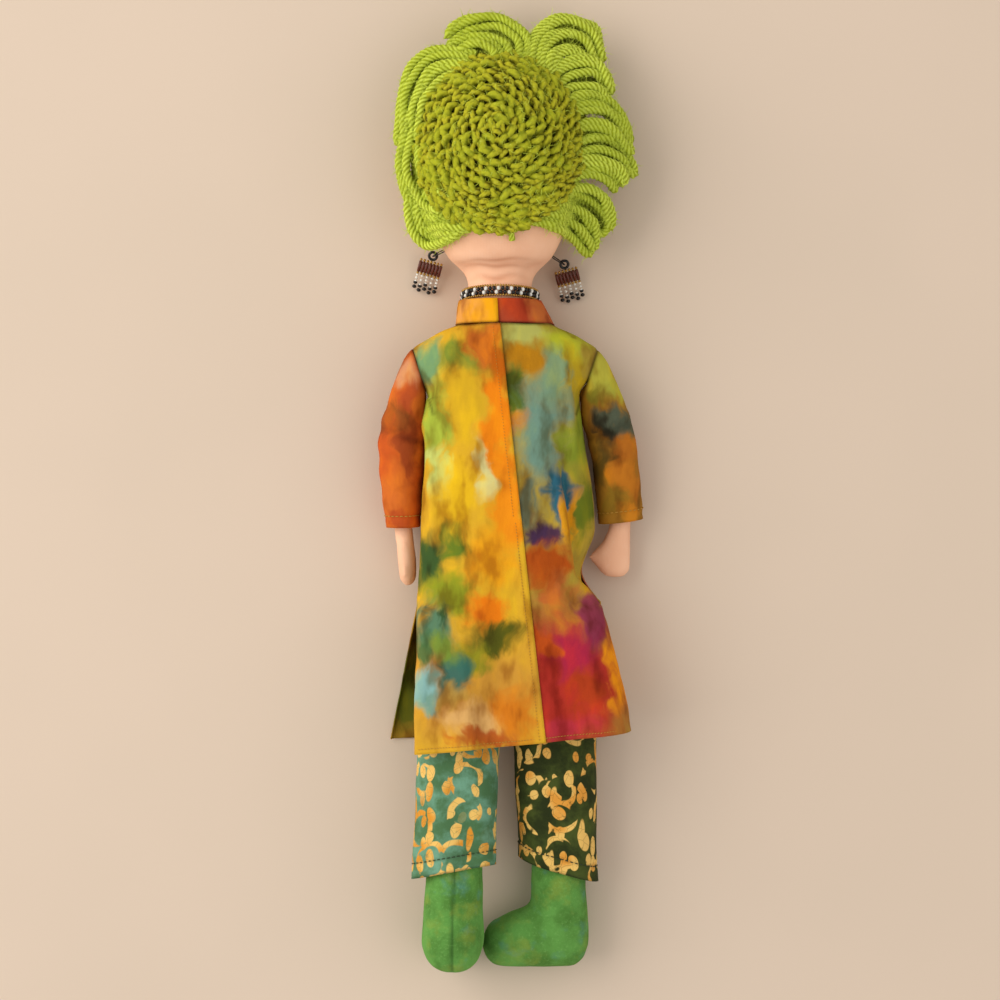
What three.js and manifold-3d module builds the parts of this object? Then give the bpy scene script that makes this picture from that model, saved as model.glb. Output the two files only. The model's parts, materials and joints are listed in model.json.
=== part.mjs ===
// A cloth doll lying face down: stuffed head, torso, arms, legs and boots, a crocheted wig with
// yarn loops, a stand-collared tunic with side slits, trousers, a bead choker and bead earrings.
// Millimetres, +Z up out of the table, +Y towards the head, +X to the right seen from its back.

import * as THREE from "three";
import { mergeVertices } from "three/addons/utils/BufferGeometryUtils.js";
import Module from "manifold-3d";

const wasm = await Module();
wasm.setup();

// Cloth, seams and clearances
const GAP = 0.4; // clear air between two pieces that touch
const CLOTH = 1.0; // tunic and trouser cloth with its turned-in edges
const EASE = 1.2; // least air between a stuffed piece and the clothes over it
const SECTION = 2.3; // superellipse exponent of a stuffed or draped section
const SIDES = 16; // points round a stuffed section

// Torso, measured up from the hip seam
const TORSO_LENGTH = 142;
const TORSO_DEPTH = 40; // stuffed, front to back, at the belly
const HIP_WIDTH = 68;
const WAIST_WIDTH = 64;
const WAIST_HEIGHT = 62;
const CHEST_WIDTH = 70;
const CHEST_HEIGHT = 100;
const SHOULDER_WIDTH = 66;
const SHOULDER_HEIGHT = 128;

// Neck and head, measured up from the centre of the neck's ball-shaped base
const NECK_RISE = 15; // that centre above the top of the torso
const NECK_RADIUS = 18.5;
const NECK_OFFSET = -2.6; // the neck leans this far off the middle
const HEAD_LENGTH = 122; // neck ball centre to crown
const HEAD_WIDTH = 78;
const HEAD_DEPTH = 60;

// Wig
const CAP_WIDTH = 84;
const CAP_LENGTH = 92;
const CAP_CENTRE_HEIGHT = 79; // above the neck ball's centre
const YARN = 6; // thickness of the crocheted fabric
const CAP_ROUNDS = 7; // rounds of stitches from crown to rim
const STITCH_RIDGE = 1.1; // depth of the groove between two rounds
const HAIRLINE = 33; // at the nape, above the neck ball's centre
const HAIRLINE_SLOPE = 50; // degrees, from the nape up to the forehead
const LOCK_WIDTH = 23; // a bundle of yarn loops
const LOCK_DEPTH = 23;

// Tunic
const TUNIC_DEPTH = 47.2; // front to back, at the hips
const COLLAR_RISE = 1; // collar seam above the top of the torso
const COLLAR_HEIGHT = 12.5;
const COLLAR_SEAM_WIDTH = 52;
const COLLAR_RIM_RADIUS = 20.6; // inner, at the top edge
const ARMHOLE_DROP = 25; // centre of the armhole below the collar seam
const ARMPIT_DROP = 39; // armpit below the collar seam
const SHOULDER_SPAN = 99; // tunic, edge to edge, at the shoulder points
const TUNIC_CHEST = 79.2; // tunic, edge to edge, under the arms
const TUNIC_HIPS = 95.4; // tunic, edge to edge, at the lap
const HAND_DENT = 7.5; // how far the right hand presses the cloth in
const ARMHOLE_REACH = 44; // centre of the armhole off the middle
const ARMHOLE_TILT = 18; // degrees that the armhole faces down
const SLIT_TOP = 23; // below the hip seam
const SLIT_OPEN = 27; // below the slit's top, where it stands fully open
const HEM = 73; // below the hip seam
const HEM_TILT = 0.1; // rise of the back hem, left to right
const BACK_HEM_CROWN = 54; // highest point of the back hem above the table
const BACK_HEM_EDGE = 46; // its left corner above the table
const BACK_HEM_DROP = 14; // its right corner, which hangs past the leg
const FRONT_HEM_EDGE = 4; // corners of the front hem above the table
const SEAM_TOP = -3.6; // the back seam at the collar, off the middle
const SEAM_BOTTOM = 19.8; // the back seam at the hem
const PLACKET_LENGTH = 66; // underlap of the back opening
const PLACKET_WIDTH = 12;
const PLACKET_CLOTH = 0.8;
const FOLD_GAP = 0.8; // between the tunic's upper and lower half at the lap

// Sleeves and arms, measured along the arm from the armhole's centre
const ARM_WIDTH = 16;
const ARM_DEPTH = 11;
const WRIST_WIDTH = 12.5;
const HAND_WIDTH = 22;
const HAND_DEPTH = 9;
const THUMB_LENGTH = 13;

// Trousers
const WAISTBAND_TOP = 60; // above the hip seam
const WAISTBAND_HEIGHT = 10;
const BAND_WALL = 0.6;
const ELASTIC_THICKNESS = 0.8;
const ELASTIC_HEIGHT = 7;
const SEAT_EASE = 0.6; // air between the hips and the seat
const LEG_SPACING = 48; // between the two hip centres
const TROUSER_WIDTH = 44;
const TROUSER_DEPTH = 37;
const TROUSER_LENGTH = 121; // hip centre to hem

// Legs and boots, measured down from the hip centre
const THIGH_WIDTH = 35;
const THIGH_LENGTH = 82; // hip centre to the seam where the boot begins
const BOOT_WIDTH = 32;
const BOOT_LENGTH = 91; // that seam to the sole
const FOOT_LENGTH = 57; // heel to toe
const FOOT_HEIGHT = 33;
const FOOT_WIDTH = 31;
const BOOT_EASE = 1.7; // air between the boot's shaft and the trouser hem

// Choker and earrings
const CHOKER_BEAD = 2.6;
const CHOKER_BEADS = 24;
const CHOKER_AIR = 1.5; // between neck and beads
const EARRING_RING = 5.6; // outer diameter of the black ring bead
const RING_BEAD_THICKNESS = 1.5;
const BUGLE_LENGTH = 6;
const BUGLE_DIAMETER = 1.9;
const BUGLE_COUNT = 7;
const SEED_BEAD = 1.7;
const FRINGE_LENGTH = 9;
const FRINGE_COUNT = 5;
const THREAD = 0.7;

// Places that follow from the sizes
const BODY_Z = TUNIC_DEPTH / 2;
const NECK_HEIGHT = TORSO_LENGTH + NECK_RISE;
const COLLAR_SEAM_HEIGHT = TORSO_LENGTH + COLLAR_RISE;
const ARMHOLE_HEIGHT = COLLAR_SEAM_HEIGHT - ARMHOLE_DROP;
const ARMPIT = COLLAR_SEAM_HEIGHT - ARMPIT_DROP;
const LEFT = -1;
const RIGHT = 1;
const HIP_RADIUS = TROUSER_WIDTH / 2 - 2.5;
const HIP_Y = -(FOLD_GAP + HIP_RADIUS);
const HIP_Z = CLOTH + 2 * GAP + TROUSER_DEPTH / 2;
const LEG_LENGTH = THIGH_LENGTH + BOOT_LENGTH;
const TOE_REACH = FOOT_LENGTH - BOOT_WIDTH / 2;
const neckCentre = new THREE.Vector3(NECK_OFFSET, NECK_HEIGHT, BODY_Z);

const radians = THREE.MathUtils.degToRad;
const vec = (x, y, z) => new THREE.Vector3(x, y, z);
const UP = vec(0, 0, 1);

// Solids: a geometry becomes a solid for joining and cutting, and a geometry again for its mesh.
function solid(geometry, matrix) {
  const bare = geometry.index ? geometry.toNonIndexed() : geometry.clone();
  const placed = new THREE.BufferGeometry().setAttribute("position", bare.getAttribute("position"));
  if (matrix) placed.applyMatrix4(matrix);
  const merged = mergeVertices(placed, 1e-4);
  return new wasm.Manifold(
    new wasm.Mesh({
      numProp: 3,
      vertProperties: merged.attributes.position.array,
      triVerts: new Uint32Array(merged.index.array),
    }),
  );
}

function geometryOf(manifold) {
  const made = manifold.getMesh();
  const geometry = new THREE.BufferGeometry();
  geometry.setAttribute("position", new THREE.BufferAttribute(made.vertProperties, made.numProp));
  geometry.setIndex(new THREE.BufferAttribute(made.triVerts, 1));
  geometry.computeVertexNormals();
  return geometry;
}

const moved = (x, y, z) => new THREE.Matrix4().makeTranslation(x, y, z);

function box(low, high) {
  const size = high.clone().sub(low);
  const centre = high.clone().add(low).multiplyScalar(0.5);
  return solid(new THREE.BoxGeometry(size.x, size.y, size.z), moved(centre.x, centre.y, centre.z));
}

// A slab that fills the side of a plane its normal points to, for trimming.
const REACH = 600;
function beyond(point, normal) {
  const turn = new THREE.Quaternion().setFromUnitVectors(UP, normal.clone().normalize());
  const centre = normal.clone().normalize().multiplyScalar(REACH / 2).add(point);
  const place = new THREE.Matrix4().compose(centre, turn, vec(1, 1, 1));
  return solid(new THREE.BoxGeometry(REACH, REACH, REACH), place);
}

const joined = (solids) => solids.reduce((sum, s) => sum.add(s));
const trimmed = (piece, cutters) => cutters.reduce((left, c) => left.subtract(c), piece);

// A closed skin over rings of points; a ring of one point is a pole.
function skin(rings) {
  const positions = [];
  const starts = rings.map((ring) => {
    const start = positions.length / 3;
    ring.forEach((p) => positions.push(p.x, p.y, p.z));
    return start;
  });
  const index = [];
  const sides = Math.max(...rings.map((r) => r.length));
  const at = (i, j) => starts[i] + (rings[i].length === 1 ? 0 : j % sides);
  const face = (a, b, c) => {
    if (a !== b && b !== c && c !== a) index.push(a, b, c);
  };
  for (let i = 0; i + 1 < rings.length; i += 1) {
    for (let j = 0; j < sides; j += 1) {
      face(at(i, j), at(i, j + 1), at(i + 1, j + 1));
      face(at(i, j), at(i + 1, j + 1), at(i + 1, j));
    }
  }
  [0, rings.length - 1].forEach((i, last) => {
    if (rings[i].length === 1) return;
    const middle = rings[i].reduce((sum, p) => sum.add(p), vec(0, 0, 0)).divideScalar(sides);
    const hub = positions.length / 3;
    positions.push(middle.x, middle.y, middle.z);
    for (let j = 0; j < sides; j += 1) {
      if (last) face(at(i, j), at(i, j + 1), hub);
      else face(at(i, j + 1), at(i, j), hub);
    }
  });
  const geometry = new THREE.BufferGeometry();
  geometry.setAttribute("position", new THREE.Float32BufferAttribute(positions, 3));
  geometry.setIndex(index);
  const made = solid(geometry);
  if (made.volume() > 0) return made;
  geometry.setIndex(index.reverse());
  return solid(geometry);
}

const softPower = (value, power) => Math.sign(value) * Math.abs(value) ** power;

// One superellipse ring across a path, as wide and deep as its station says.
function section(centre, tangent, station, sides) {
  const side = vec(0, 0, 0).crossVectors(tangent, UP).normalize();
  const rise = vec(0, 0, 0).crossVectors(side, tangent).normalize();
  if (station.w < 0.01) return [centre];
  return Array.from({ length: sides }, (_, j) => {
    const angle = (2 * Math.PI * (j + 0.5)) / sides;
    const c = softPower(Math.cos(angle), 2 / SECTION) * station.w;
    const s = softPower(Math.sin(angle), 2 / SECTION) * station.d;
    const turn = radians(station.turn);
    return centre
      .clone()
      .addScaledVector(side, c * Math.cos(turn) - s * Math.sin(turn))
      .addScaledVector(rise, c * Math.sin(turn) + s * Math.cos(turn));
  });
}

// A stuffed or draped form: a smooth skin through stations along a path. Each station has its place
// at, its half width w and half depth d, and how far its section is turned, in degrees. A level form
// keeps its sections square to Y however its path leans.
function swelling(stations, { sides = SIDES, rings = 2, level = false } = {}) {
  const centres = new THREE.CatmullRomCurve3(stations.map((s) => s.at));
  const sizes = new THREE.CatmullRomCurve3(stations.map((s) => vec(s.w, s.d, s.turn ?? 0)));
  const count = (stations.length - 1) * rings;
  return skin(
    Array.from({ length: count + 1 }, (_, i) => {
      const size = sizes.getPoint(i / count);
      const station = { w: Math.max(size.x, 0), d: Math.max(size.y, 0), turn: size.z };
      const tangent = level ? vec(0, 1, 0) : centres.getTangent(i / count);
      return section(centres.getPoint(i / count), tangent, station, sides);
    }),
  );
}

// The stations of a rounded end past a station, reaching out by a vector to a pole.
function roundedEnd(station, reach, steps = 3) {
  return Array.from({ length: steps }, (_, i) => {
    const angle = ((Math.PI / 2) * (i + 1)) / steps;
    const at = station.at.clone().addScaledVector(reach, Math.sin(angle));
    const pole = i === steps - 1;
    const size = pole ? 0 : Math.cos(angle);
    return { ...station, at, w: station.w * size, d: station.d * size };
  });
}

// The same form grown all round, or shrunk for the hollow of a shell. A shell's open ends are
// carried past, so that the hollow breaks through them.
function wider(stations, by) {
  const end = stations.length - 1;
  return stations.map((s, i) => {
    const pole = s.w < 0.01;
    const size = pole ? { w: 0, d: 0 } : { w: s.w + by, d: s.d + by };
    if (i > 0 && i < end) return { ...s, ...size };
    const beside = stations[i === 0 ? 1 : end - 1];
    const outwards = s.at.clone().sub(beside.at).normalize();
    return { ...s, ...size, at: s.at.clone().addScaledVector(outwards, pole ? by : Math.abs(by)) };
  });
}

// Materials
const material = (name, color, roughness = 0.9) =>
  new THREE.MeshStandardMaterial({ name, color, roughness, metalness: 0 });
const skinCotton = material("skin_cotton", 0xe3a887);
const limeYarn = material("lime_yarn", 0x9cc42c, 1.0);
const dyedCotton = material("dyed_cotton", 0xd99a2a, 0.8);
const printedCotton = material("printed_cotton", 0x4f7f5c, 0.85);
const greenFleece = material("green_fleece", 0x3f8f45, 1.0);
const glassBeads = material("glass_beads", 0x2a1c16, 0.3);
const bugleBeads = material("bugle_beads", 0x5e2415, 0.35);
const whiteElastic = material("white_elastic", 0xeeeae0, 0.8);

function mesh(name, manifold, finish) {
  const made = new THREE.Mesh(geometryOf(manifold), finish);
  made.name = name;
  return made;
}

function body(pivot, pieces) {
  const group = new THREE.Group();
  group.position.copy(pivot);
  group.add(...pieces);
  return group;
}

// Torso: tapers to a flat seam at the hips, with a round seat for the neck.
const torsoStations = [
  { at: vec(0, GAP, BODY_Z), w: HIP_WIDTH / 2 - 4, d: 3 },
  { at: vec(0, 14, BODY_Z), w: HIP_WIDTH / 2, d: TORSO_DEPTH / 2 - 2 },
  { at: vec(0, 34, BODY_Z), w: HIP_WIDTH / 2, d: TORSO_DEPTH / 2 },
  { at: vec(0, WAIST_HEIGHT, BODY_Z), w: WAIST_WIDTH / 2, d: TORSO_DEPTH / 2 - 4 },
  { at: vec(0, CHEST_HEIGHT, BODY_Z), w: CHEST_WIDTH / 2, d: TORSO_DEPTH / 2 - 1 },
  { at: vec(0, SHOULDER_HEIGHT, BODY_Z), w: SHOULDER_WIDTH / 2, d: TORSO_DEPTH / 2 - 3 },
  { at: vec(0, TORSO_LENGTH, BODY_Z), w: NECK_RADIUS, d: NECK_RADIUS - 3 },
];

function torso() {
  const seat = solid(
    new THREE.SphereGeometry(NECK_RADIUS + 2 * GAP, 20, 14),
    moved(neckCentre.x, neckCentre.y, neckCentre.z),
  );
  return swelling(torsoStations).subtract(seat);
}

// Head with its neck, in the frame of the neck ball's centre.
const headDrop = HEAD_DEPTH / 2 + GAP - BODY_Z; // face just clear of the table
const ball = { at: vec(0, 0, 0), w: NECK_RADIUS, d: NECK_RADIUS };
const headStations = [
  ...roundedEnd(ball, vec(0, -NECK_RADIUS, 0)).reverse(),
  ball,
  { at: vec(0, 9, 0), w: NECK_RADIUS + 0.6, d: NECK_RADIUS - 0.6 },
  { at: vec(0, 20, headDrop * 0.25), w: HEAD_WIDTH * 0.35, d: HEAD_DEPTH * 0.36 },
  { at: vec(0, 36, headDrop * 0.7), w: HEAD_WIDTH * 0.45, d: HEAD_DEPTH * 0.45 },
  { at: vec(0, 64, headDrop), w: HEAD_WIDTH / 2, d: HEAD_DEPTH / 2 },
  { at: vec(0, HEAD_LENGTH - 26, headDrop), w: HEAD_WIDTH * 0.42, d: HEAD_DEPTH * 0.43 },
  ...roundedEnd(
    { at: vec(0, HEAD_LENGTH - 12, headDrop), w: HEAD_WIDTH * 0.32, d: HEAD_DEPTH * 0.33 },
    vec(0, 12, 0),
    2,
  ),
];
const head = () => swelling(headStations, { sides: 20 });
const roundHead = swelling(wider(headStations, 2 * GAP), { sides: 20 });

// Crocheted cap: the back of the head in thick stitches, worked in rounds from the crown outwards
// and cut off along the hairline, which runs from the nape up to the forehead.
function cap(extra = 0) {
  const radius = CAP_WIDTH / 2 + extra;
  const height = HEAD_DEPTH / 2 + YARN + extra;
  const steps = CAP_ROUNDS * 2;
  const profile = [new THREE.Vector2(0, -STITCH_RIDGE)];
  for (let i = steps; i > 0; i -= 1) {
    const angle = ((i / steps) * Math.PI) / 2;
    const sunk = i % 2 ? 0 : STITCH_RIDGE;
    profile.push(new THREE.Vector2((radius - sunk) * Math.sin(angle), (height - sunk) * Math.cos(angle)));
  }
  profile.push(new THREE.Vector2(0, height));
  const place = moved(0, CAP_CENTRE_HEIGHT, headDrop)
    .multiply(new THREE.Matrix4().makeScale(1, CAP_LENGTH / CAP_WIDTH, 1))
    .multiply(new THREE.Matrix4().makeRotationX(Math.PI / 2));
  const rounds = solid(new THREE.LatheGeometry(profile, 20), place);
  const lining = swelling(wider(headStations, YARN - 2 * STITCH_RIDGE + extra), { sides: 20 });
  const nape = vec(0, HAIRLINE - 2 * extra, headDrop + HEAD_DEPTH / 2);
  const rise = radians(HAIRLINE_SLOPE);
  return rounds.add(lining).intersect(beyond(nape, vec(0, Math.cos(rise), Math.sin(rise))));
}
const roundCap = cap(2 * GAP);

// Yarn locks: bundles of loops sewn round the cap's rim, each along its own path.
const lockPaths = {
  lock_top_left: [vec(24, 112, 18), vec(14, 135, 14), vec(-12, 137, 14), vec(-24, 126, 12)],
  lock_top_right: [vec(24, 114, 4), vec(24, 132, 2), vec(37, 135, 2), vec(44, 127, 4), vec(43, 112, 6)],
  lock_right_upper: [vec(36, 116, 18), vec(46, 114, 20), vec(50, 102, 20), vec(42, 94, 22)],
  lock_right_middle: [vec(46, 88, 22), vec(56, 88, 16), vec(60, 76, 14), vec(48, 70, 20)],
  lock_right_lower: [vec(44, 64, 6), vec(52, 63, 2), vec(53, 50, 0), vec(43, 45, 8)],
  lock_right_nape: [vec(38, 50, 24), vec(47, 44, 20), vec(49, 33, 12), vec(41, 29, 8)],
  lock_left_upper: [vec(-30, 116, 12), vec(-40, 106, 14), vec(-42, 92, 14), vec(-41, 78, 14)],
  lock_left_lower: [vec(-40, 82, -2), vec(-42, 70, -2), vec(-40, 54, 2), vec(-35, 42, 6)],
  lock_left_nape: [vec(-40, 52, 16), vec(-39, 42, 14), vec(-34, 34, 10), vec(-27, 33, 8)],
  fringe_left: [vec(-34, 84, -10), vec(-32, 110, -10), vec(-17, 121, -10), vec(2, 124, -10)],
  fringe_right: [vec(36, 84, -11), vec(36, 108, -12), vec(23, 121, -12), vec(10, 124, -11)],
};
const lockFull = [0.5, 0.95, 1, 1, 0.6];

function lock(path, extra = 0) {
  const route = new THREE.CatmullRomCurve3(path);
  const steps = 4;
  const stations = lockFull.map((full, i) => ({
    at: route.getPoint(i / steps),
    w: (LOCK_WIDTH / 2) * full,
    d: (LOCK_DEPTH / 2) * full,
  }));
  return swelling(extra ? wider(stations, extra) : stations, { sides: 8 });
}

function wig() {
  const pieces = [mesh("crochet_cap", cap().subtract(roundHead), limeYarn)];
  const table = beyond(vec(0, 0, -BODY_Z), vec(0, 0, -1));
  const placed = [roundHead, roundCap, table];
  Object.entries(lockPaths).forEach(([name, path]) => {
    const parts = trimmed(lock(path), placed).decompose();
    const largest = parts.reduce((a, b) => (a.volume() > b.volume() ? a : b));
    pieces.push(mesh(name, largest, limeYarn));
    placed.push(lock(path, 1.5 * GAP));
  });
  return pieces;
}

// Choker: round beads threaded in a ring about the neck, waisted where they touch.
function choker() {
  const radius = NECK_RADIUS + CHOKER_AIR + CHOKER_BEAD / 2;
  const around = 2 * CHOKER_BEADS;
  const ring = new THREE.TorusGeometry(radius, CHOKER_BEAD / 2, 5, around);
  const place = ring.getAttribute("position");
  for (let i = 0; i < place.count; i += 1) {
    const step = i % (around + 1);
    if (step % 2 === 0) continue;
    const angle = (2 * Math.PI * step) / around;
    const core = vec(radius * Math.cos(angle), radius * Math.sin(angle), 0);
    const point = vec(0, 0, 0).fromBufferAttribute(place, i).sub(core).multiplyScalar(0.5).add(core);
    place.setXYZ(i, point.x, point.y, point.z);
  }
  return solid(ring, moved(0, CHOKER_BEAD / 2, 0).multiply(new THREE.Matrix4().makeRotationX(Math.PI / 2)));
}

// Earring: a ring bead, a row of bugle beads under a row of seed beads, and a fringe of strands.
// It hangs along -Y from the middle of the ring bead, which a thread loop on the head passes through.
function beadRod(from, to, radius, sides = 4) {
  const path = to.clone().sub(from);
  const turn = new THREE.Quaternion().setFromUnitVectors(vec(0, 1, 0), path.clone().normalize());
  const centre = from.clone().add(to).multiplyScalar(0.5);
  const place = new THREE.Matrix4().compose(centre, turn, vec(1, 1, 1));
  return solid(new THREE.CylinderGeometry(radius, radius, path.length(), sides), place);
}

function bead(x, y, diameter) {
  return solid(new THREE.SphereGeometry(diameter / 2, 5, 3), moved(x, y, 0));
}

const ringRadius = (EARRING_RING - RING_BEAD_THICKNESS) / 2;
const seedRow = -(EARRING_RING / 2 + SEED_BEAD * 0.4);
const bugleTop = seedRow - SEED_BEAD * 0.45;
const bugleFoot = bugleTop - BUGLE_LENGTH;
const bugleStep = BUGLE_DIAMETER * 0.96;
const bugleHalf = ((BUGLE_COUNT - 1) * bugleStep) / 2;

// The row of bugle beads: side by side tubes, so their joint section is a scalloped strip.
function bugleRow() {
  const edge = (sign) =>
    Array.from({ length: BUGLE_COUNT * 4 }, (_, i) => {
      const turn = (Math.PI * ((i % 4) + 0.5)) / 4;
      const middle = Math.floor(i / 4) * bugleStep - bugleHalf;
      const across = middle - (Math.cos(turn) * bugleStep) / 2;
      return new THREE.Vector2(sign * across, (sign * Math.sin(turn) * BUGLE_DIAMETER) / 2);
    });
  const strip = new THREE.Shape([...edge(-1), ...edge(1)]);
  const row = new THREE.ExtrudeGeometry(strip, { depth: BUGLE_LENGTH, bevelEnabled: false });
  return solid(row, moved(0, bugleTop, 0).multiply(new THREE.Matrix4().makeRotationX(Math.PI / 2)));
}

function earringPanel() {
  const ring = solid(new THREE.TorusGeometry(ringRadius, RING_BEAD_THICKNESS / 2, 5, 12));
  const seeds = Array.from({ length: BUGLE_COUNT - 1 }, (_, i) =>
    bead((i + 0.5) * bugleStep - bugleHalf, seedRow, SEED_BEAD * 1.2),
  );
  return joined([ring, bugleRow(), ...seeds]);
}

function earringFringe() {
  const top = bugleFoot - GAP;
  const hem = beadRod(vec(-bugleHalf, top - THREAD, 0), vec(bugleHalf, top - THREAD, 0), THREAD);
  const strands = Array.from({ length: FRINGE_COUNT }, (_, i) => {
    const x = ((2 * i) / (FRINGE_COUNT - 1) - 1) * bugleHalf;
    const foot = top - FRINGE_LENGTH * (i % 2 ? 1 : 0.82);
    const strand = beadRod(vec(x, top - THREAD, 0), vec(x, foot, 0), THREAD);
    return strand.add(bead(x, foot, SEED_BEAD * 1.3));
  });
  return joined([hem, ...strands]);
}

// Collar: a band standing round the neck, drawn in at its top edge and open at the back seam.
function collar() {
  const foot = COLLAR_SEAM_HEIGHT + GAP;
  const band = [
    { at: vec(0, foot, BODY_Z), w: COLLAR_SEAM_WIDTH / 2, d: COLLAR_SEAM_WIDTH / 2 - 4 },
    {
      at: vec(NECK_OFFSET, foot + COLLAR_HEIGHT, BODY_Z),
      w: COLLAR_RIM_RADIUS + CLOTH,
      d: COLLAR_RIM_RADIUS + CLOTH,
    },
  ];
  const round = { sides: 28, rings: 1, level: true };
  const shell = swelling(band, round).subtract(swelling(wider(band, -CLOTH), round));
  const opening = box(
    vec(SEAM_TOP - GAP / 2, foot - 1, BODY_Z),
    vec(SEAM_TOP + GAP / 2, foot + COLLAR_HEIGHT + 1, TUNIC_DEPTH + 1),
  );
  return shell.subtract(opening);
}

// Tunic, upper half: a draped tube from the collar seam to the lap, cut at its seams.
// Left and right are the side edges off the middle, and d is half its depth.
const tunicEdge = (y, width, lean, d) => ({ y, left: lean - width / 2, right: lean + width / 2, d });
const downFrom = (share) => COLLAR_SEAM_HEIGHT * share;
const fullDepth = TUNIC_DEPTH / 2;
const shoulderFall = COLLAR_SEAM_HEIGHT - ARMHOLE_HEIGHT;
const dented = tunicEdge(downFrom(0.105), TUNIC_HIPS * 0.94, 0, fullDepth);
dented.right -= HAND_DENT;
const tunicEdges = [
  tunicEdge(COLLAR_SEAM_HEIGHT, COLLAR_SEAM_WIDTH, 0, fullDepth - 2.1),
  tunicEdge(COLLAR_SEAM_HEIGHT - shoulderFall * 0.24, SHOULDER_SPAN * 0.768, 0, fullDepth - 2.1),
  tunicEdge(COLLAR_SEAM_HEIGHT - shoulderFall * 0.6, SHOULDER_SPAN, -0.5, fullDepth - 1.6),
  tunicEdge(ARMHOLE_HEIGHT, SHOULDER_SPAN * 0.94, -0.5, fullDepth - 1.2),
  tunicEdge(ARMPIT + 3, TUNIC_CHEST, -1, fullDepth - 1),
  tunicEdge(downFrom(0.58), TUNIC_CHEST + 2.8, 0.4, fullDepth - 0.8),
  tunicEdge(downFrom(0.364), TUNIC_HIPS * 0.938, 1.5, fullDepth - 0.6),
  tunicEdge(downFrom(0.266), TUNIC_HIPS * 0.954, 1.5, fullDepth - 0.4),
  dented,
  tunicEdge(-2, TUNIC_HIPS, 2.3, fullDepth),
];
const tunicStations = tunicEdges.map((e) => ({
  at: vec((e.left + e.right) / 2, e.y, BODY_Z),
  w: (e.right - e.left) / 2,
  d: e.d,
}));
const tunicForm = (grow) => swelling(wider(tunicStations, grow), { sides: 24, rings: 1, level: true });
const tunicTube = tunicForm(0).subtract(tunicForm(-CLOTH));

const seamDirection = vec(SEAM_BOTTOM - SEAM_TOP, -(COLLAR_SEAM_HEIGHT + HEM), 0).normalize();
const seamNormal = vec(-seamDirection.y, seamDirection.x, 0);
const seamPoint = vec(SEAM_TOP, COLLAR_SEAM_HEIGHT, BODY_Z);
const offSeam = (by) => seamPoint.clone().addScaledVector(seamNormal, by);
const leftOfSeam = beyond(offSeam(GAP / 2), seamNormal);
const rightOfSeam = beyond(offSeam(-GAP / 2), seamNormal.clone().negate());

const armholeCentre = (side) => vec(side * ARMHOLE_REACH, ARMHOLE_HEIGHT, BODY_Z);
const armholeNormal = (side) =>
  vec(side * Math.cos(radians(ARMHOLE_TILT)), -Math.sin(radians(ARMHOLE_TILT)), 0);
const armholeSide = (side, by) =>
  beyond(armholeCentre(side).addScaledVector(armholeNormal(side), by), armholeNormal(side));

// The shoulder part of each armhole plane, which stops at the armpit.
const armholeCut = (side) =>
  armholeSide(side, -GAP / 2).intersect(beyond(vec(0, ARMPIT, 0), vec(0, 1, 0)));

function tunicUpper() {
  const below = beyond(vec(0, 0, 0), vec(0, -1, 0));
  const tube = trimmed(tunicTube, [armholeCut(LEFT), armholeCut(RIGHT), below]);
  const back = beyond(vec(0, 0, BODY_Z + GAP / 2), UP);
  const front = beyond(vec(0, 0, BODY_Z - GAP / 2), UP.clone().negate());
  return [
    mesh("tunic_back_left", tube.intersect(back).intersect(rightOfSeam), dyedCotton),
    mesh("tunic_back_right", tube.intersect(back).intersect(leftOfSeam), dyedCotton),
    mesh("tunic_front", tube.intersect(front), dyedCotton),
  ];
}

// Back placket: an underlap just inside the back opening.
function placket() {
  const top = COLLAR_SEAM_HEIGHT - PLACKET_WIDTH;
  return trimmed(tunicForm(-CLOTH - GAP).subtract(tunicForm(-CLOTH - GAP - PLACKET_CLOTH)), [
    beyond(vec(0, 0, BODY_Z), UP.clone().negate()),
    beyond(vec(0, top, 0), vec(0, 1, 0)),
    beyond(vec(0, top - PLACKET_LENGTH, 0), vec(0, -1, 0)),
    beyond(offSeam(PLACKET_WIDTH / 2), seamNormal),
    beyond(offSeam(-PLACKET_WIDTH / 2), seamNormal.clone().negate()),
  ]);
}

// Tunic, lower half: two loose sheets hung from the lap, open at the sides below the slits.
// Each row runs from edge to edge with an outer and an inner line of points.
function draped(rows) {
  const positions = [];
  const columns = rows[0].outer.length;
  rows.forEach((row) => [...row.outer, ...row.inner].forEach((p) => positions.push(p.x, p.y, p.z)));
  const outer = (i, j) => i * 2 * columns + j;
  const inner = (i, j) => outer(i, j) + columns;
  const index = [];
  const quad = (a, b, c, d) => index.push(a, b, c, a, c, d);
  const last = rows.length - 1;
  for (let j = 0; j + 1 < columns; j += 1) {
    for (let i = 0; i < last; i += 1) {
      quad(outer(i, j), outer(i + 1, j), outer(i + 1, j + 1), outer(i, j + 1));
      quad(inner(i, j), inner(i, j + 1), inner(i + 1, j + 1), inner(i + 1, j));
    }
    quad(outer(0, j), outer(0, j + 1), inner(0, j + 1), inner(0, j));
    quad(outer(last, j), inner(last, j), inner(last, j + 1), outer(last, j + 1));
  }
  const end = columns - 1;
  for (let i = 0; i < last; i += 1) {
    quad(outer(i, 0), inner(i, 0), inner(i + 1, 0), outer(i + 1, 0));
    quad(outer(i, end), outer(i + 1, end), inner(i + 1, end), inner(i, end));
  }
  const geometry = new THREE.BufferGeometry();
  geometry.setAttribute("position", new THREE.Float32BufferAttribute(positions, 3));
  geometry.setIndex(index);
  const made = solid(geometry);
  if (made.volume() > 0) return made;
  geometry.setIndex(index.reverse());
  return solid(geometry);
}

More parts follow.
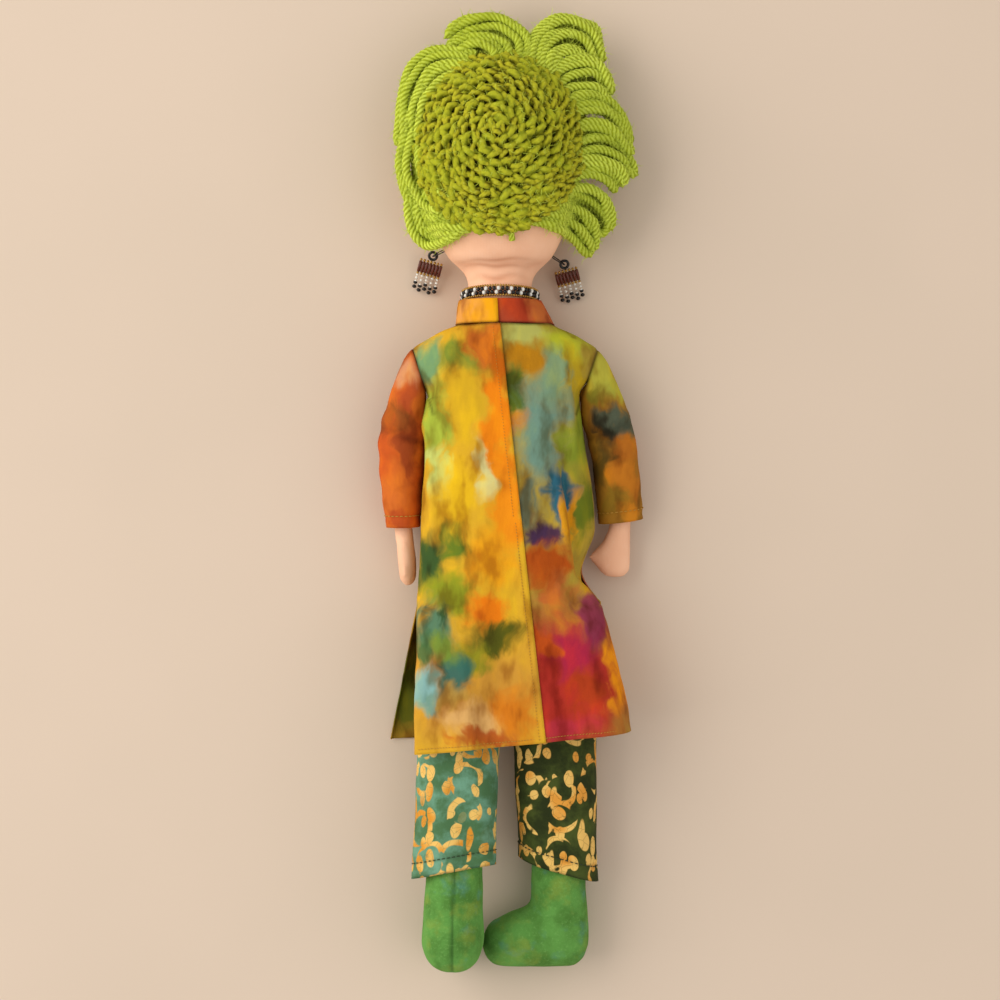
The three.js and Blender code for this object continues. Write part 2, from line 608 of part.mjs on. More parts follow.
const SKIRT_ROWS = 8;
const SKIRT_COLUMNS = 20;
const SKIRT_SECTION = 5.5; // squarer than the body, to clear both legs
const FOLD_DEPTH = 1.3; // of the soft folds that run down to the hem
const between = (from, to, share) => from + (to - from) * share;

// One hanging panel, from its edges at the lap to its edges at the hem, on the back or the front.
function skirtPanel({ facing, hemLeft, hemRight, leftEdge, rightEdge, hemCrown, tilt, folds }) {
  const lap = tunicEdges[tunicEdges.length - 1];
  const rows = Array.from({ length: SKIRT_ROWS + 1 }, (_, i) => {
    const share = i / SKIRT_ROWS;
    const y = between(-FOLD_GAP, -HEM, share);
    const hang = THREE.MathUtils.smoothstep(-y, SLIT_TOP, HEM);
    const slit = THREE.MathUtils.smoothstep(-y, SLIT_TOP, SLIT_TOP + SLIT_OPEN);
    const left = between(lap.left, hemLeft, share);
    const right = between(lap.right, hemRight, share);
    const side = BODY_Z + (facing * GAP) / 2;
    const crown = between(BODY_Z + facing * lap.d, hemCrown, share);
    const square = between(SECTION, SKIRT_SECTION, THREE.MathUtils.smoothstep(-y, 0, SLIT_TOP * 0.6));
    const line = (inset) =>
      Array.from({ length: SKIRT_COLUMNS }, (_, j) => {
        const angle = Math.PI * (1 - j / (SKIRT_COLUMNS - 1));
        const across = softPower(Math.cos(angle), 2 / square);
        const rise = Math.abs(Math.sin(angle)) ** (2 / square);
        const x = (left + right) / 2 + across * ((right - left) / 2 - inset);
        const fold = folds * FOLD_DEPTH * hang * Math.sin(across * 9 + 0.6);
        const edge = across < 0 ? between(side, leftEdge, slit) : between(side, rightEdge, hang);
        const z = edge + rise * (crown - edge - facing * inset) + fold;
        return vec(x, y + share * tilt * (x - (left + right) / 2), z);
      });
    return { outer: line(0), inner: line(CLOTH) };
  });
  return draped(rows);
}

const backPanel = skirtPanel({
  facing: 1,
  hemLeft: -46.8,
  hemRight: 65,
  leftEdge: BACK_HEM_EDGE,
  rightEdge: BACK_HEM_DROP,
  hemCrown: BACK_HEM_CROWN,
  tilt: HEM_TILT,
  folds: 1,
});
const frontPanel = skirtPanel({
  facing: -1,
  hemLeft: -61,
  hemRight: 56,
  leftEdge: FRONT_HEM_EDGE,
  rightEdge: FRONT_HEM_EDGE,
  hemCrown: 0,
  tilt: 0.03,
  folds: 0,
});

// Sleeve and arm, in the frame of the armhole's centre. The left arm lies turned on its edge.
const armPath = {
  left: [vec(12, 10, 0), vec(0, 0, 0), vec(-9.8, -29.5, -4), vec(-9.2, -80, -7), vec(-6.2, -112, -6)],
  right: [vec(-12, 10, 0), vec(0, 0, 0), vec(11.6, -29.5, -6), vec(17, -77, -11.5), vec(12, -108, -13)],
};
const armTurn = { left: 80, right: 0 };
const CUFF_WIDTH = 23.6;
const CUFF_DEPTH = 17.4;

// What lies outside the armhole and, however the arm is swung, clear of the tunic's side below it.
const ARM_SWING = [-52, 152]; // degrees about the armhole's normal, with a little to spare
const SWING_STEP = 12;
function besideBody(piece, side) {
  const normal = armholeNormal(side);
  const underarm = tunicForm(2 * GAP).subtract(beyond(vec(0, ARMPIT + GAP, 0), vec(0, 1, 0)));
  const flank = underarm.intersect(armholeSide(side, 0));
  const here = armholeCentre(side).negate();
  const axis = vec(Math.abs(normal.x), -side * Math.abs(normal.y), 0);
  const cutters = [];
  for (let swing = ARM_SWING[0]; swing <= ARM_SWING[1]; swing += SWING_STEP) {
    const turn = new THREE.Matrix4().makeRotationAxis(axis, -radians(swing));
    cutters.push(solid(geometryOf(flank), turn.multiply(moved(here.x, here.y, here.z))));
  }
  const rest = solid(geometryOf(flank), moved(here.x, here.y, here.z));
  const clear = piece.intersect(beyond(normal.clone().multiplyScalar(GAP / 2), normal));
  const parts = trimmed(clear, [rest, ...cutters]).decompose();
  return parts.reduce((a, b) => (a.volume() > b.volume() ? a : b));
}

function sleeve(name, side) {
  const [inside, armhole, elbow, cuff] = armPath[name];
  const turn = armTurn[name];
  const stations = [
    { at: inside, w: 11.5, d: 14, turn: 0 },
    { at: armhole, w: 12, d: 14, turn: 0 },
    { at: elbow, w: 12.3, d: 12, turn: turn / 2 },
    { at: cuff, w: CUFF_WIDTH / 2, d: CUFF_DEPTH / 2, turn },
  ];
  const shell = swelling(stations, { rings: 3 }).subtract(swelling(wider(stations, -CLOTH), { rings: 3 }));
  return besideBody(shell, side);
}

function arm(name, side) {
  const [, armhole, elbow, wrist, tip] = armPath[name];
  const turn = armTurn[name];
  const reach = tip.clone().sub(wrist);
  const along = (share) => wrist.clone().addScaledVector(reach, share);
  const shoulder = {
    at: armhole.clone().lerp(elbow, 0.3),
    w: ARM_WIDTH / 2,
    d: ARM_WIDTH / 2,
    turn: 0,
  };
  const palm = { at: along(0.75), w: HAND_WIDTH / 2 - 1, d: HAND_DEPTH / 2, turn };
  const limb = swelling([
    ...roundedEnd(shoulder, armhole.clone().sub(elbow).multiplyScalar(0.2)).reverse(),
    shoulder,
    { at: elbow.clone(), w: ARM_WIDTH / 2, d: ARM_DEPTH / 2 + 1, turn: turn / 2 },
    { at: wrist.clone(), w: WRIST_WIDTH / 2, d: ARM_DEPTH / 2 - 0.6, turn },
    { at: along(0.35), w: HAND_WIDTH / 2 - 3, d: HAND_DEPTH / 2, turn },
    palm,
    ...roundedEnd(palm, reach.clone().multiplyScalar(0.25)),
  ], { sides: 10 });
  const inward = vec(-side, 0, 0).applyAxisAngle(vec(0, 1, 0), -side * radians(turn));
  const ahead = reach.clone().normalize();
  const knuckle = { at: along(0.35), w: 5, d: HAND_DEPTH / 2 - 0.5, turn };
  const thumbReach = inward.multiplyScalar(THUMB_LENGTH).addScaledVector(ahead, THUMB_LENGTH * 0.8);
  const middle = { at: knuckle.at.clone().addScaledVector(thumbReach, 0.75), w: 3.6, d: 3.4, turn };
  const tipReach = thumbReach.clone().multiplyScalar(0.3);
  const thumb = swelling([knuckle, middle, ...roundedEnd(middle, tipReach)], { sides: 8 });
  return besideBody(limb.add(thumb), side);
}

// Trousers: a seat that stays on the torso, with a casing for the waist elastic, and two legs.
const slot = ELASTIC_THICKNESS + 2 * GAP;
const bandInner = { w: WAIST_WIDTH / 2 + 1.6, d: TORSO_DEPTH / 2 - 1.4 };
const bandDepth = 2 * BAND_WALL + slot;
function band(inset, low, high) {
  const size = { w: bandInner.w + inset, d: bandInner.d + inset };
  return swelling([
    { at: vec(0, low, BODY_Z), ...size },
    { at: vec(0, (low + high) / 2, BODY_Z), ...size },
    { at: vec(0, high, BODY_Z), ...size },
  ], { sides: 16, rings: 1 });
}

function trouserSeat() {
  const foot = WAISTBAND_TOP - WAISTBAND_HEIGHT;
  const casing = band(bandDepth, foot, WAISTBAND_TOP).subtract(band(0, foot - 1, WAISTBAND_TOP + 1));
  const pocket = band(BAND_WALL + slot, foot - 1, WAISTBAND_TOP - BAND_WALL).subtract(
    band(BAND_WALL, foot - 2, WAISTBAND_TOP),
  );
  const full = { w: HIP_WIDTH / 2 + SEAT_EASE + CLOTH, d: TORSO_DEPTH / 2 + SEAT_EASE + CLOTH };
  const seat = [
    { at: vec(0, 2, BODY_Z), w: full.w - 2, d: full.d - 2 },
    { at: vec(0, 14, BODY_Z), ...full },
    { at: vec(0, 36, BODY_Z), ...full },
    { at: vec(0, foot + 1, BODY_Z), w: bandInner.w + bandDepth, d: bandInner.d + bandDepth },
  ];
  const wall = swelling(seat).subtract(swelling(wider(seat, -CLOTH)));
  return wall.add(casing).subtract(pocket);
}

function waistElastic() {
  const top = WAISTBAND_TOP - BAND_WALL - GAP;
  const near = BAND_WALL + GAP;
  return band(near + ELASTIC_THICKNESS, top - ELASTIC_HEIGHT, top).subtract(
    band(near, top - ELASTIC_HEIGHT - 1, top + 1),
  );
}

// A leg hangs along -Y from its hip centre, with a domed top under the tunic.
function legStations(length, middle, foot) {
  const hip = { at: vec(0, 0, 0), w: HIP_RADIUS, d: TROUSER_DEPTH / 2 };
  return [
    ...roundedEnd(hip, vec(0, HIP_RADIUS, 0)).reverse(),
    hip,
    { at: vec(0, -length * 0.45, 0), ...middle },
    { at: vec(0, -length, 0), ...foot },
  ];
}

function trouserLeg() {
  const middle = { w: TROUSER_WIDTH / 2, d: TROUSER_DEPTH / 2 - 1.2 };
  const hem = { w: TROUSER_WIDTH / 2 - 0.5, d: TROUSER_DEPTH / 2 - 2 };
  const stations = legStations(TROUSER_LENGTH, middle, hem);
  return swelling(stations).subtract(swelling(wider(stations, -CLOTH)));
}

const ANKLE_RADIUS = TROUSER_DEPTH / 2 - 2 - CLOTH - BOOT_EASE; // the leg where the boot begins

function thigh() {
  const hollow = CLOTH + EASE;
  const foot = { w: ANKLE_RADIUS, d: ANKLE_RADIUS };
  const middle = { w: THIGH_WIDTH / 2, d: ANKLE_RADIUS + 0.8 };
  const [crown, ...rest] = legStations(THIGH_LENGTH, middle, foot);
  const lowered = crown.at.clone().sub(vec(0, hollow, 0));
  const dome = rest.slice(0, 3).map((s) => ({ ...s, w: s.w - hollow, d: s.d - hollow }));
  return swelling([{ ...crown, at: lowered }, ...dome, ...rest.slice(3)]);
}

// Boot: a leg with a rounded heel, and a foot that points along -Z, the doll's front.
function boot() {
  const ankle = { at: vec(0, -BOOT_LENGTH + FOOT_HEIGHT * 0.45, 0), w: BOOT_WIDTH / 2, d: BOOT_WIDTH / 2 };
  const shaft = swelling([
    { at: vec(0, -GAP, 0), w: ANKLE_RADIUS, d: ANKLE_RADIUS },
    { at: vec(0, -BOOT_LENGTH * 0.4, 0), w: ANKLE_RADIUS + 0.4, d: ANKLE_RADIUS + 0.4 },
    ankle,
    ...roundedEnd(ankle, vec(0, -FOOT_HEIGHT * 0.45, 0)),
  ]);
  const layFlat = moved(0, -BOOT_LENGTH, 0).multiply(new THREE.Matrix4().makeRotationX(-Math.PI / 2));
  const onSole = (reach, half, tall) => ({ at: vec(0, reach, tall), w: half, d: tall });
  const heel = onSole(-BOOT_WIDTH / 2 + 9, FOOT_WIDTH / 2 - 1, FOOT_HEIGHT / 2);
  const toe = onSole(TOE_REACH - 11, FOOT_WIDTH / 2 - 1.5, FOOT_HEIGHT * 0.4);
  const foot = swelling([
    ...roundedEnd(heel, vec(0, -8.5, 0), 2).reverse(),
    heel,
    onSole(TOE_REACH * 0.35, FOOT_WIDTH / 2, FOOT_HEIGHT / 2),
    toe,
    ...roundedEnd(toe, vec(0, 11, 0)),
  ]);
  return shaft.add(solid(geometryOf(foot), layFlat));
}

// How each leg lies: splayed a little, and tipped so that its boot rests on the table.
const LEG_OFFSET = 0.8; // both hips lean this far off the middle
const SPLAY = 1.4; // degrees outwards
const bootTwist = { left: 0, right: 88 }; // degrees that the toe is turned towards the middle
const restHeight = { left: TOE_REACH + GAP, right: FOOT_WIDTH / 2 + 2 * GAP };

function leg(name, side) {
  const tip = Math.asin((restHeight[name] - HIP_Z) / (LEG_LENGTH - FOOT_HEIGHT * 0.4));
  const pivot = vec(LEG_OFFSET + (side * LEG_SPACING) / 2, HIP_Y, HIP_Z);
  const swivel = body(vec(0, -THIGH_LENGTH, 0), [mesh(`${name}_boot`, boot(), greenFleece)]);
  swivel.name = `${name}_boot_body`;
  swivel.rotation.y = radians(bootTwist[name]);
  const whole = body(pivot, [
    mesh(`${name}_thigh`, thigh(), skinCotton),
    mesh(`${name}_trouser_leg`, trouserLeg(), printedCotton),
    swivel,
  ]);
  whole.name = `${name}_leg_body`;
  whole.rotation.set(-tip, 0, side * radians(SPLAY), "ZYX");
  return whole;
}

// Earring places: the ring bead's centre in the head's frame, how the earring lies, and the ear
// that its thread loop is sewn to, just under the head's skin.
const TABLE = -BODY_Z;
const RING_HEIGHT = 9.5; // ring bead above the table
const earringPlace = {
  left: { ring: vec(-35.4, 23.9, TABLE + RING_HEIGHT), ear: vec(-25, 28, -6), lean: -16, dip: 20 },
  right: { ring: vec(34, 19.5, TABLE + RING_HEIGHT), ear: vec(24, 25, -6), lean: 15, dip: 20 },
};
const HOOK_WIDTH = 6; // thread loop, across
const headSkin = swelling(wider(headStations, GAP / 2), { sides: 20 });

function threadLoop({ ring, ear }, hole) {
  const along = ear.clone().sub(ring);
  const across = hole.clone().cross(along).normalize();
  const half = along.length() / 2;
  const basis = new THREE.Matrix4().makeBasis(
    along.clone().normalize(),
    across.clone().cross(along).normalize(),
    across,
  );
  const steps = 18;
  const loop = new THREE.TorusGeometry(HOOK_WIDTH / 2, THREAD * 0.45, 6, steps);
  const points = loop.getAttribute("position");
  for (let i = 0; i < points.count; i += 1) {
    const angle = (2 * Math.PI * (i % (steps + 1))) / steps;
    points.setX(i, points.getX(i) + (half - HOOK_WIDTH / 2) * Math.cos(angle));
  }
  const place = new THREE.Matrix4().setPosition(ring.clone().addScaledVector(along, 0.5)).multiply(basis);
  return solid(loop, place).subtract(headSkin);
}

function earring(name) {
  const { ring, lean, dip } = earringPlace[name];
  const hung = body(ring, [
    mesh(`${name}_earring_panel`, earringPanel(), bugleBeads),
    mesh(`${name}_earring_fringe`, earringFringe(), glassBeads),
  ]);
  hung.name = `${name}_earring_body`;
  hung.rotation.set(radians(dip), 0, radians(lean), "ZYX");
  const hole = UP.clone().applyEuler(hung.rotation);
  const hook = mesh(`${name}_earring_hook`, threadLoop(earringPlace[name], hole), glassBeads);
  return { hung, hook };
}

// The whole doll, each moving body a group at its joint.
function doll() {
  const earrings = ["left", "right"].map(earring);
  const headBody = body(vec(0, 0, 0), [
    mesh("head", head(), skinCotton),
    ...wig(),
    ...earrings.flatMap((e) => [e.hook, e.hung]),
  ]);
  headBody.name = "head_body";
  const neckBody = body(neckCentre, [mesh("choker", choker(), glassBeads), headBody]);
  neckBody.name = "neck_body";

  const arms = [["left", LEFT], ["right", RIGHT]].map(([name, side]) => {
    const made = body(armholeCentre(side), [
      mesh(`${name}_arm`, arm(name, side), skinCotton),
      mesh(`${name}_sleeve`, sleeve(name, side), dyedCotton),
    ]);
    made.name = `${name}_arm_body`;
    return made;
  });

  const lapPivot = vec(0, -FOLD_GAP / 2, 0);
  const panels = [
    mesh("skirt_back_left", backPanel.intersect(rightOfSeam), dyedCotton),
    mesh("skirt_back_right", backPanel.intersect(leftOfSeam), dyedCotton),
    mesh("skirt_front", frontPanel, dyedCotton),
  ];
  const lapPieces = [...panels, leg("left", LEFT), leg("right", RIGHT)];
  lapPieces.forEach((piece) => piece.position.sub(lapPivot));
  const lapBody = body(lapPivot, lapPieces);
  lapBody.name = "lap_body";

  const whole = new THREE.Group();
  whole.name = "cloth_doll";
  whole.add(
    mesh("torso", torso(), skinCotton),
    ...tunicUpper(),
    mesh("collar", collar(), dyedCotton),
    mesh("back_placket", placket(), dyedCotton),
    mesh("trouser_seat", trouserSeat(), printedCotton),
    mesh("waist_elastic", waistElastic(), whiteElastic),
    neckBody,
    ...arms,
    lapBody,
  );
  whole.updateMatrixWorld(true);
  const bounds = new THREE.Box3().setFromObject(whole, true);
  const middle = bounds.getCenter(vec(0, 0, 0));
  whole.position.set(-middle.x, -middle.y, -bounds.min.z);
  whole.updateMatrixWorld(true);
  return whole;
}

export default doll();
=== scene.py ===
"""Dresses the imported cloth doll: stuffed body, crocheted wig with yarn loops, dyed tunic,
printed trousers, fleece boots, bead choker and bead earrings, lying face down on a pale table."""

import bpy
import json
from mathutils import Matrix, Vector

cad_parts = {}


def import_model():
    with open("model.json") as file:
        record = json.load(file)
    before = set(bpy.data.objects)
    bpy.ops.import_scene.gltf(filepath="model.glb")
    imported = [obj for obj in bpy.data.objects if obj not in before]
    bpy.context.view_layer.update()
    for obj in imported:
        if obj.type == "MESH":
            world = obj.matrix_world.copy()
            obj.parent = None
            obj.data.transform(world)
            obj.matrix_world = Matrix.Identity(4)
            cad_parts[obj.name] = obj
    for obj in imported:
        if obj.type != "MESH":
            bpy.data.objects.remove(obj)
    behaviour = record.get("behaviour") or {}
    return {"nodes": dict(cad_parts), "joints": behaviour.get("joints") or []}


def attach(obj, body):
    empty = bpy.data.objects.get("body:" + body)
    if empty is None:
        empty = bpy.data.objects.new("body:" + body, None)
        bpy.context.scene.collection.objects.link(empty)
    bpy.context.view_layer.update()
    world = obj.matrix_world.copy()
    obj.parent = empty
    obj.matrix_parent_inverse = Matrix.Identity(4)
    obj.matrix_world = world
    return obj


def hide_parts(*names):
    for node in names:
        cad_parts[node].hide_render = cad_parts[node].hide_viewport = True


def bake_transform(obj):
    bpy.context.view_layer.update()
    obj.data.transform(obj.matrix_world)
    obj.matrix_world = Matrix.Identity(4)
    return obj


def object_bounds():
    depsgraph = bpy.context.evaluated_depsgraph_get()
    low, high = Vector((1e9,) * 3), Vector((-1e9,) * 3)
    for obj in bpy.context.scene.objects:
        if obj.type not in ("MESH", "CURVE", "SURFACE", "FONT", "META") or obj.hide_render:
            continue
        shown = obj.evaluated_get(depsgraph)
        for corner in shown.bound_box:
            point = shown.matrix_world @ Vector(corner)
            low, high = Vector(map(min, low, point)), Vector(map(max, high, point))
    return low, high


bl_info = {
    "name": "Cloth Doll",
    "version": (1, 0, 0),
    "blender": (4, 5, 0),
    "location": "View3D > Sidebar > Cloth Doll",
    "description": "Dresses a cloth doll with a yarn wig, dyed tunic, printed trousers, boots and beads",
    "category": "Object",
}

import json
import math
import random

import bmesh
import bpy
import numpy as np
from bpy.props import FloatProperty, FloatVectorProperty, IntProperty, PointerProperty
from mathutils import Matrix, Vector, noise
from mathutils.bvhtree import BVHTree

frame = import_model()
CAD_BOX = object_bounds()
JOINTS = {joint["name"]: joint for joint in frame["joints"]}

# Doll frame, in millimetres: the hip seam is y 0, the table z 0, and the neck's ball is here.
MM = 0.001
NECK = np.array((-2.6, 157.0, 23.6))
SHIFT = np.array(JOINTS["head_turn"]["pos_m"]) / MM - NECK
BODY_Z = 23.6
SECTION = 2.3  # power of the superellipse that sections of the body and clothes follow
SIDES = {"left": -1, "right": 1}
LEVEL = (1.0, 1.0, 1.0)  # a round ball, which beads and stitches stand straight out from
STITCH_SHARE = 0.72  # length of a stitch, as a share of the pitch
FILL_FRAMES = 20  # steps of filling the stuffed pieces
PLIES = 4  # of a strand of yarn


def world(points):
    """Points of the doll frame, in millimetres, as metres in the shared frame."""
    return (np.asarray(points, float) + SHIFT) * MM


def srgb(code):
    """A colour written as six hex digits, as linear red, green and blue."""
    values = [int(code[i:i + 2], 16) / 255 for i in (0, 2, 4)]
    return tuple(v / 12.92 if v <= 0.04045 else ((v + 0.055) / 1.055) ** 2.4 for v in values)


def rgba(code):
    """The same with an alpha of one."""
    return (*srgb(code), 1.0)


# Settings that a user would change


def length(name, text, millimetres):
    """A setting that is a length."""
    return FloatProperty(name=name, description=text, default=millimetres * MM, min=0.0, precision=4,
                         subtype="DISTANCE", unit="LENGTH")


def colour(name, text, code):
    """A setting that is a colour."""
    return FloatVectorProperty(name=name, description=text, default=srgb(code), subtype="COLOR",
                               size=3, min=0.0, max=1.0)


class DollBodySettings(bpy.types.PropertyGroup):
    skin: colour("Skin", "Cotton of the head, neck and hands", "fbc6a2")
    voxel: length("Remesh", "Voxel size of the stuffed pieces", 2.4)
    pressure: FloatProperty(name="Stuffing", description="Pressure of the stuffing", default=4.0, min=0.0)
    swell: length("Swell", "Furthest that stuffing pushes the cloth out", 1.2)
    fleece: colour("Fleece", "Main colour of the boots", "629a48")


class DollWigSettings(bpy.types.PropertyGroup):
    yarn: length("Yarn", "Thickness of one strand of yarn", 5.0)
    twist: FloatProperty(name="Twist", description="Turns of the plies for each metre", default=92.0)
    fuzz: FloatProperty(name="Fuzz", description="Loose fibres on each square metre of yarn", default=90000.0)
    pitch: length("Stitch", "Length of one crochet stitch", 6.0)
    rounds: length("Rounds", "Distance from one crochet round to the next", 5.6)
    # The dark yarn is painted shade in the grooves between the plies.
    light: colour("Light yarn", "Top of the plies", "dcea5c")
    dark: colour("Dark yarn", "Grooves between the plies", "9aa41c")
    seed: IntProperty(name="Seed", description="Seed of the loops' small differences", default=7)


class DollTunicSettings(bpy.types.PropertyGroup):
    cloth: length("Cloth", "Thickness of the tunic's cloth", 0.7)
    folds: length("Folds", "Depth of the soft folds", 2.0)
    spacing: length("Mesh", "Spacing of the cloth's mesh", 1.5)
    stitch: length("Stitch", "Length of one sewing stitch", 1.6)


class DollTrouserSettings(bpy.types.PropertyGroup):
    left_ground: colour("Left ground", "Ground of the print on the left leg", "6f9f84")
    right_ground: colour("Right ground", "Ground of the print on the right leg", "47521f")
    motif: colour("Motif", "Pale shapes of the print", "ecc068")


class DollBeadSettings(bpy.types.PropertyGroup):
    choker_bead: length("Choker bead", "Diameter of a choker bead", 2.3)
    choker_count: IntProperty(name="Choker beads", description="Beads in one round", default=56)
    gold: colour("Gold", "Gold seed beads", "b0863a")
    bugle: colour("Bugle", "Brown bugle beads", "5a2412")


class DollStageSettings(bpy.types.PropertyGroup):
    floor: colour("Table", "Plain pale table", "dac5b0")
    view_width: length("View", "Width of the picture at the doll", 520.0)
    distance: length("Distance", "Camera above the table", 1300.0)


SETTINGS = {
    "doll_body": DollBodySettings,
    "doll_wig": DollWigSettings,
    "doll_tunic": DollTunicSettings,
    "doll_trousers": DollTrouserSettings,
    "doll_beads": DollBeadSettings,
    "doll_stage": DollStageSettings,
}


def settings(group):
    """One group of the scene's settings."""
    return getattr(bpy.context.scene, group)


# Meshes


def smooth_table(heights, values):
    """A curve through values at rising heights that never overshoots them."""
    x = np.asarray(heights, float)
    y = np.asarray(values, float)
    step = np.diff(x)
    rise = np.diff(y) / step
    slope = np.zeros(len(x))
    slope[0], slope[-1] = rise[0], rise[-1]
    for i in range(1, len(x) - 1):
        if rise[i - 1] * rise[i] > 0:
            a, b = 2 * step[i] + step[i - 1], step[i] + 2 * step[i - 1]
            slope[i] = (a + b) / (a / rise[i - 1] + b / rise[i])

    def at(where):
        where = np.clip(where, x[0], x[-1])
        i = np.clip(np.searchsorted(x, where) - 1, 0, len(x) - 2)
        t = (where - x[i]) / step[i]
        lead = (1 + 2 * t) * (1 - t) ** 2 * y[i] + t * (1 - t) ** 2 * step[i] * slope[i]
        return lead + t * t * (3 - 2 * t) * y[i + 1] + t * t * (t - 1) * step[i] * slope[i + 1]

    return at


def smoothstep(value, low, high):
    """From 0 at low to 1 at high, level at both."""
    t = np.clip((np.asarray(value, float) - low) / (high - low), 0, 1)
    return t * t * (3 - 2 * t)


def bell(distance, width):
    """A smooth bump, 1 in the middle."""
    return np.exp(-(np.asarray(distance, float) / width) ** 2)


def around(count):
    """Evenly spaced angles round a ring."""
    return np.linspace(0, math.tau, count, endpoint=False)


def points_at(x, y, z):
    """Points from their places along each axis, any of which may be one number for all."""
    return np.stack(np.broadcast_arrays(x, y, z), axis=-1)


def gaps(rows, axis=0):
    """Distances from each point to the next one along an axis."""
    return np.linalg.norm(np.diff(rows, axis=axis), axis=-1)


def spaced(line, count):
    """The same line with its points evenly spaced."""
    line = np.asarray(line, float)
    run = np.concatenate([[0], np.cumsum(gaps(line))])
    share = np.linspace(0, run[-1], count)
    return np.stack([np.interp(share, run, line[:, k]) for k in range(3)], axis=1)


def spline(points, count):
    """A smooth curve through a few points, with count points evenly spaced."""
    p = np.asarray(points, float)
    p = np.vstack([2 * p[0] - p[1], p, 2 * p[-1] - p[-2]])
    line = []
    for i in range(1, len(p) - 2):
        for t in np.linspace(0, 1, 16, endpoint=False):
            a, b, c, d = p[i - 1], p[i], p[i + 1], p[i + 2]
            line.append(0.5 * (2 * b + (c - a) * t + (2 * a - 5 * b + 4 * c - d) * t * t
                               + (3 * b - a - 3 * c + d) * t ** 3))
    line.append(p[-2])
    return spaced(line, count)


def piece_from(name, mesh):
    """A new object in the scene."""
    piece = bpy.data.objects.new(name, mesh)
    bpy.context.scene.collection.objects.link(piece)
    return piece


def shade_smooth(mesh):
    """Shades every face smooth."""
    mesh.polygons.foreach_set("use_smooth", [True] * len(mesh.polygons))


def coated(piece, coat):
    """Gives a piece one finish and no other."""
    piece.data.materials.clear()
    piece.data.materials.append(coat)
    return piece


def shaped(name, verts, faces):
    """A smooth piece from points, in metres, and faces."""
    mesh = bpy.data.meshes.new(name)
    mesh.from_pydata([tuple(point) for point in verts], [], faces)
    shade_smooth(mesh)
    return piece_from(name, mesh)


def lofted(name, rows, coat, closed=False, flip=False):
    """A sheet or tube over rows of points of the doll frame, with a UV map in metres of cloth."""
    rows = np.asarray(rows, float)
    count, wide = rows.shape[:2]
    quads = []
    for i in range(count - 1):
        for j in range(wide if closed else wide - 1):
            corners = ((i, j), (i, j + 1), (i + 1, j + 1), (i + 1, j))
            quads.append(corners[::-1] if flip else corners)
    faces = [[i * wide + j % wide for i, j in quad] for quad in quads]
    piece = shaped(name, world(rows.reshape(-1, 3)), faces)
    ring = np.concatenate([rows, rows[:, :1]], axis=1) if closed else rows
    across = np.concatenate([np.zeros((count, 1)), np.cumsum(gaps(ring, 1), axis=1)], axis=1)
    across = across - across[:, -1:] / 2
    down = np.concatenate([[0], np.cumsum(gaps(rows).mean(axis=1))])
    flat = [(across[i, j] * MM, -down[i] * MM) for quad in quads for i, j in quad]
    piece.data.uv_layers.new(name="cloth").data.foreach_set("uv", np.array(flat, np.float32).ravel())
    return coated(piece, coat)


def evaluated_mesh(piece):
    """A new plain mesh of a piece as its modifiers make it."""
    bpy.context.view_layer.update()
    graph = bpy.context.evaluated_depsgraph_get()
    return bpy.data.meshes.new_from_object(
        piece.evaluated_get(graph), preserve_all_data_layers=True, depsgraph=graph)


def drop(piece):
    """Removes an object with its data."""
    data = piece.data
    bpy.data.objects.remove(piece)
    (bpy.data.meshes if isinstance(data, bpy.types.Mesh) else bpy.data.curves).remove(data)


def baked(piece):
    """Applies the piece's modifiers, so that it is a plain mesh."""
    made = evaluated_mesh(piece)
    old = piece.data
    piece.modifiers.clear()
    piece.data = made
    made.name = piece.name
    if old.users == 0:
        bpy.data.meshes.remove(old)
    return piece


def thick(piece, thickness):
    """Gives a sheet its thickness, towards the inside."""
    wall = piece.modifiers.new("Cloth thickness", "SOLIDIFY")
    wall.thickness = thickness
    wall.offset = -1.0
    wall.use_even_offset = False
    return baked(piece)


def remeshed(piece, voxel):
    """Asks for an even mesh on a piece, which baked then makes."""
    fine = piece.modifiers.new("Even mesh", "REMESH")
    fine.mode = "VOXEL"
    fine.voxel_size = voxel


def read_vectors(items, key):
    """One vector of each item of a mesh, as the rows of an array."""
    found = np.zeros(len(items) * 3, np.float32)
    items.foreach_get(key, found)
    return found.reshape(-1, 3).astype(float)


def coordinates(piece):
    """A piece's points, in metres."""
    return read_vectors(piece.data.vertices, "co")


def put_points(piece, points):
    """Moves a piece's points, in metres."""
    piece.data.vertices.foreach_set("co", points.astype(np.float32).ravel())
    piece.data.update()


def points_of(piece):
    """A piece's points in the doll frame, in millimetres."""
    return coordinates(piece) / MM - SHIFT


def normals(piece):
    """The normal at each point of a piece."""
    return read_vectors(piece.data.vertex_normals, "vector")


def displaced(piece, depth):
    """Pushes each point along its normal by depth(points of the doll frame), in millimetres."""
    points = coordinates(piece)
    by = depth(points / MM - SHIFT)
    put_points(piece, points + normals(piece) * by[:, None] * MM)
    return piece


def faced_out(piece, middle):
    """Turns a piece's faces away from a middle of the doll frame, one for all points or one for each."""
    if ((points_of(piece) - middle) * normals(piece)).sum() < 0:
        piece.data.flip_normals()
    return piece


def attribute(piece, name, values):
    """Marks each point of a piece with a number that its finish reads."""
    made = piece.data.attributes.new(name, "FLOAT", "POINT")
    made.data.foreach_set("value", np.asarray(values, np.float32))
    return piece


def ripple(points, size, seed=0.0):
    """Smooth noise from -1 to 1 at each point, with bumps about size millimetres across."""
    return np.array([noise.noise(Vector(p) / size + Vector((seed, 0, 0))) for p in points])


def part_way(start, end, share):
    """What lies between two values, at a share of the way."""
    return start + (end - start) * share


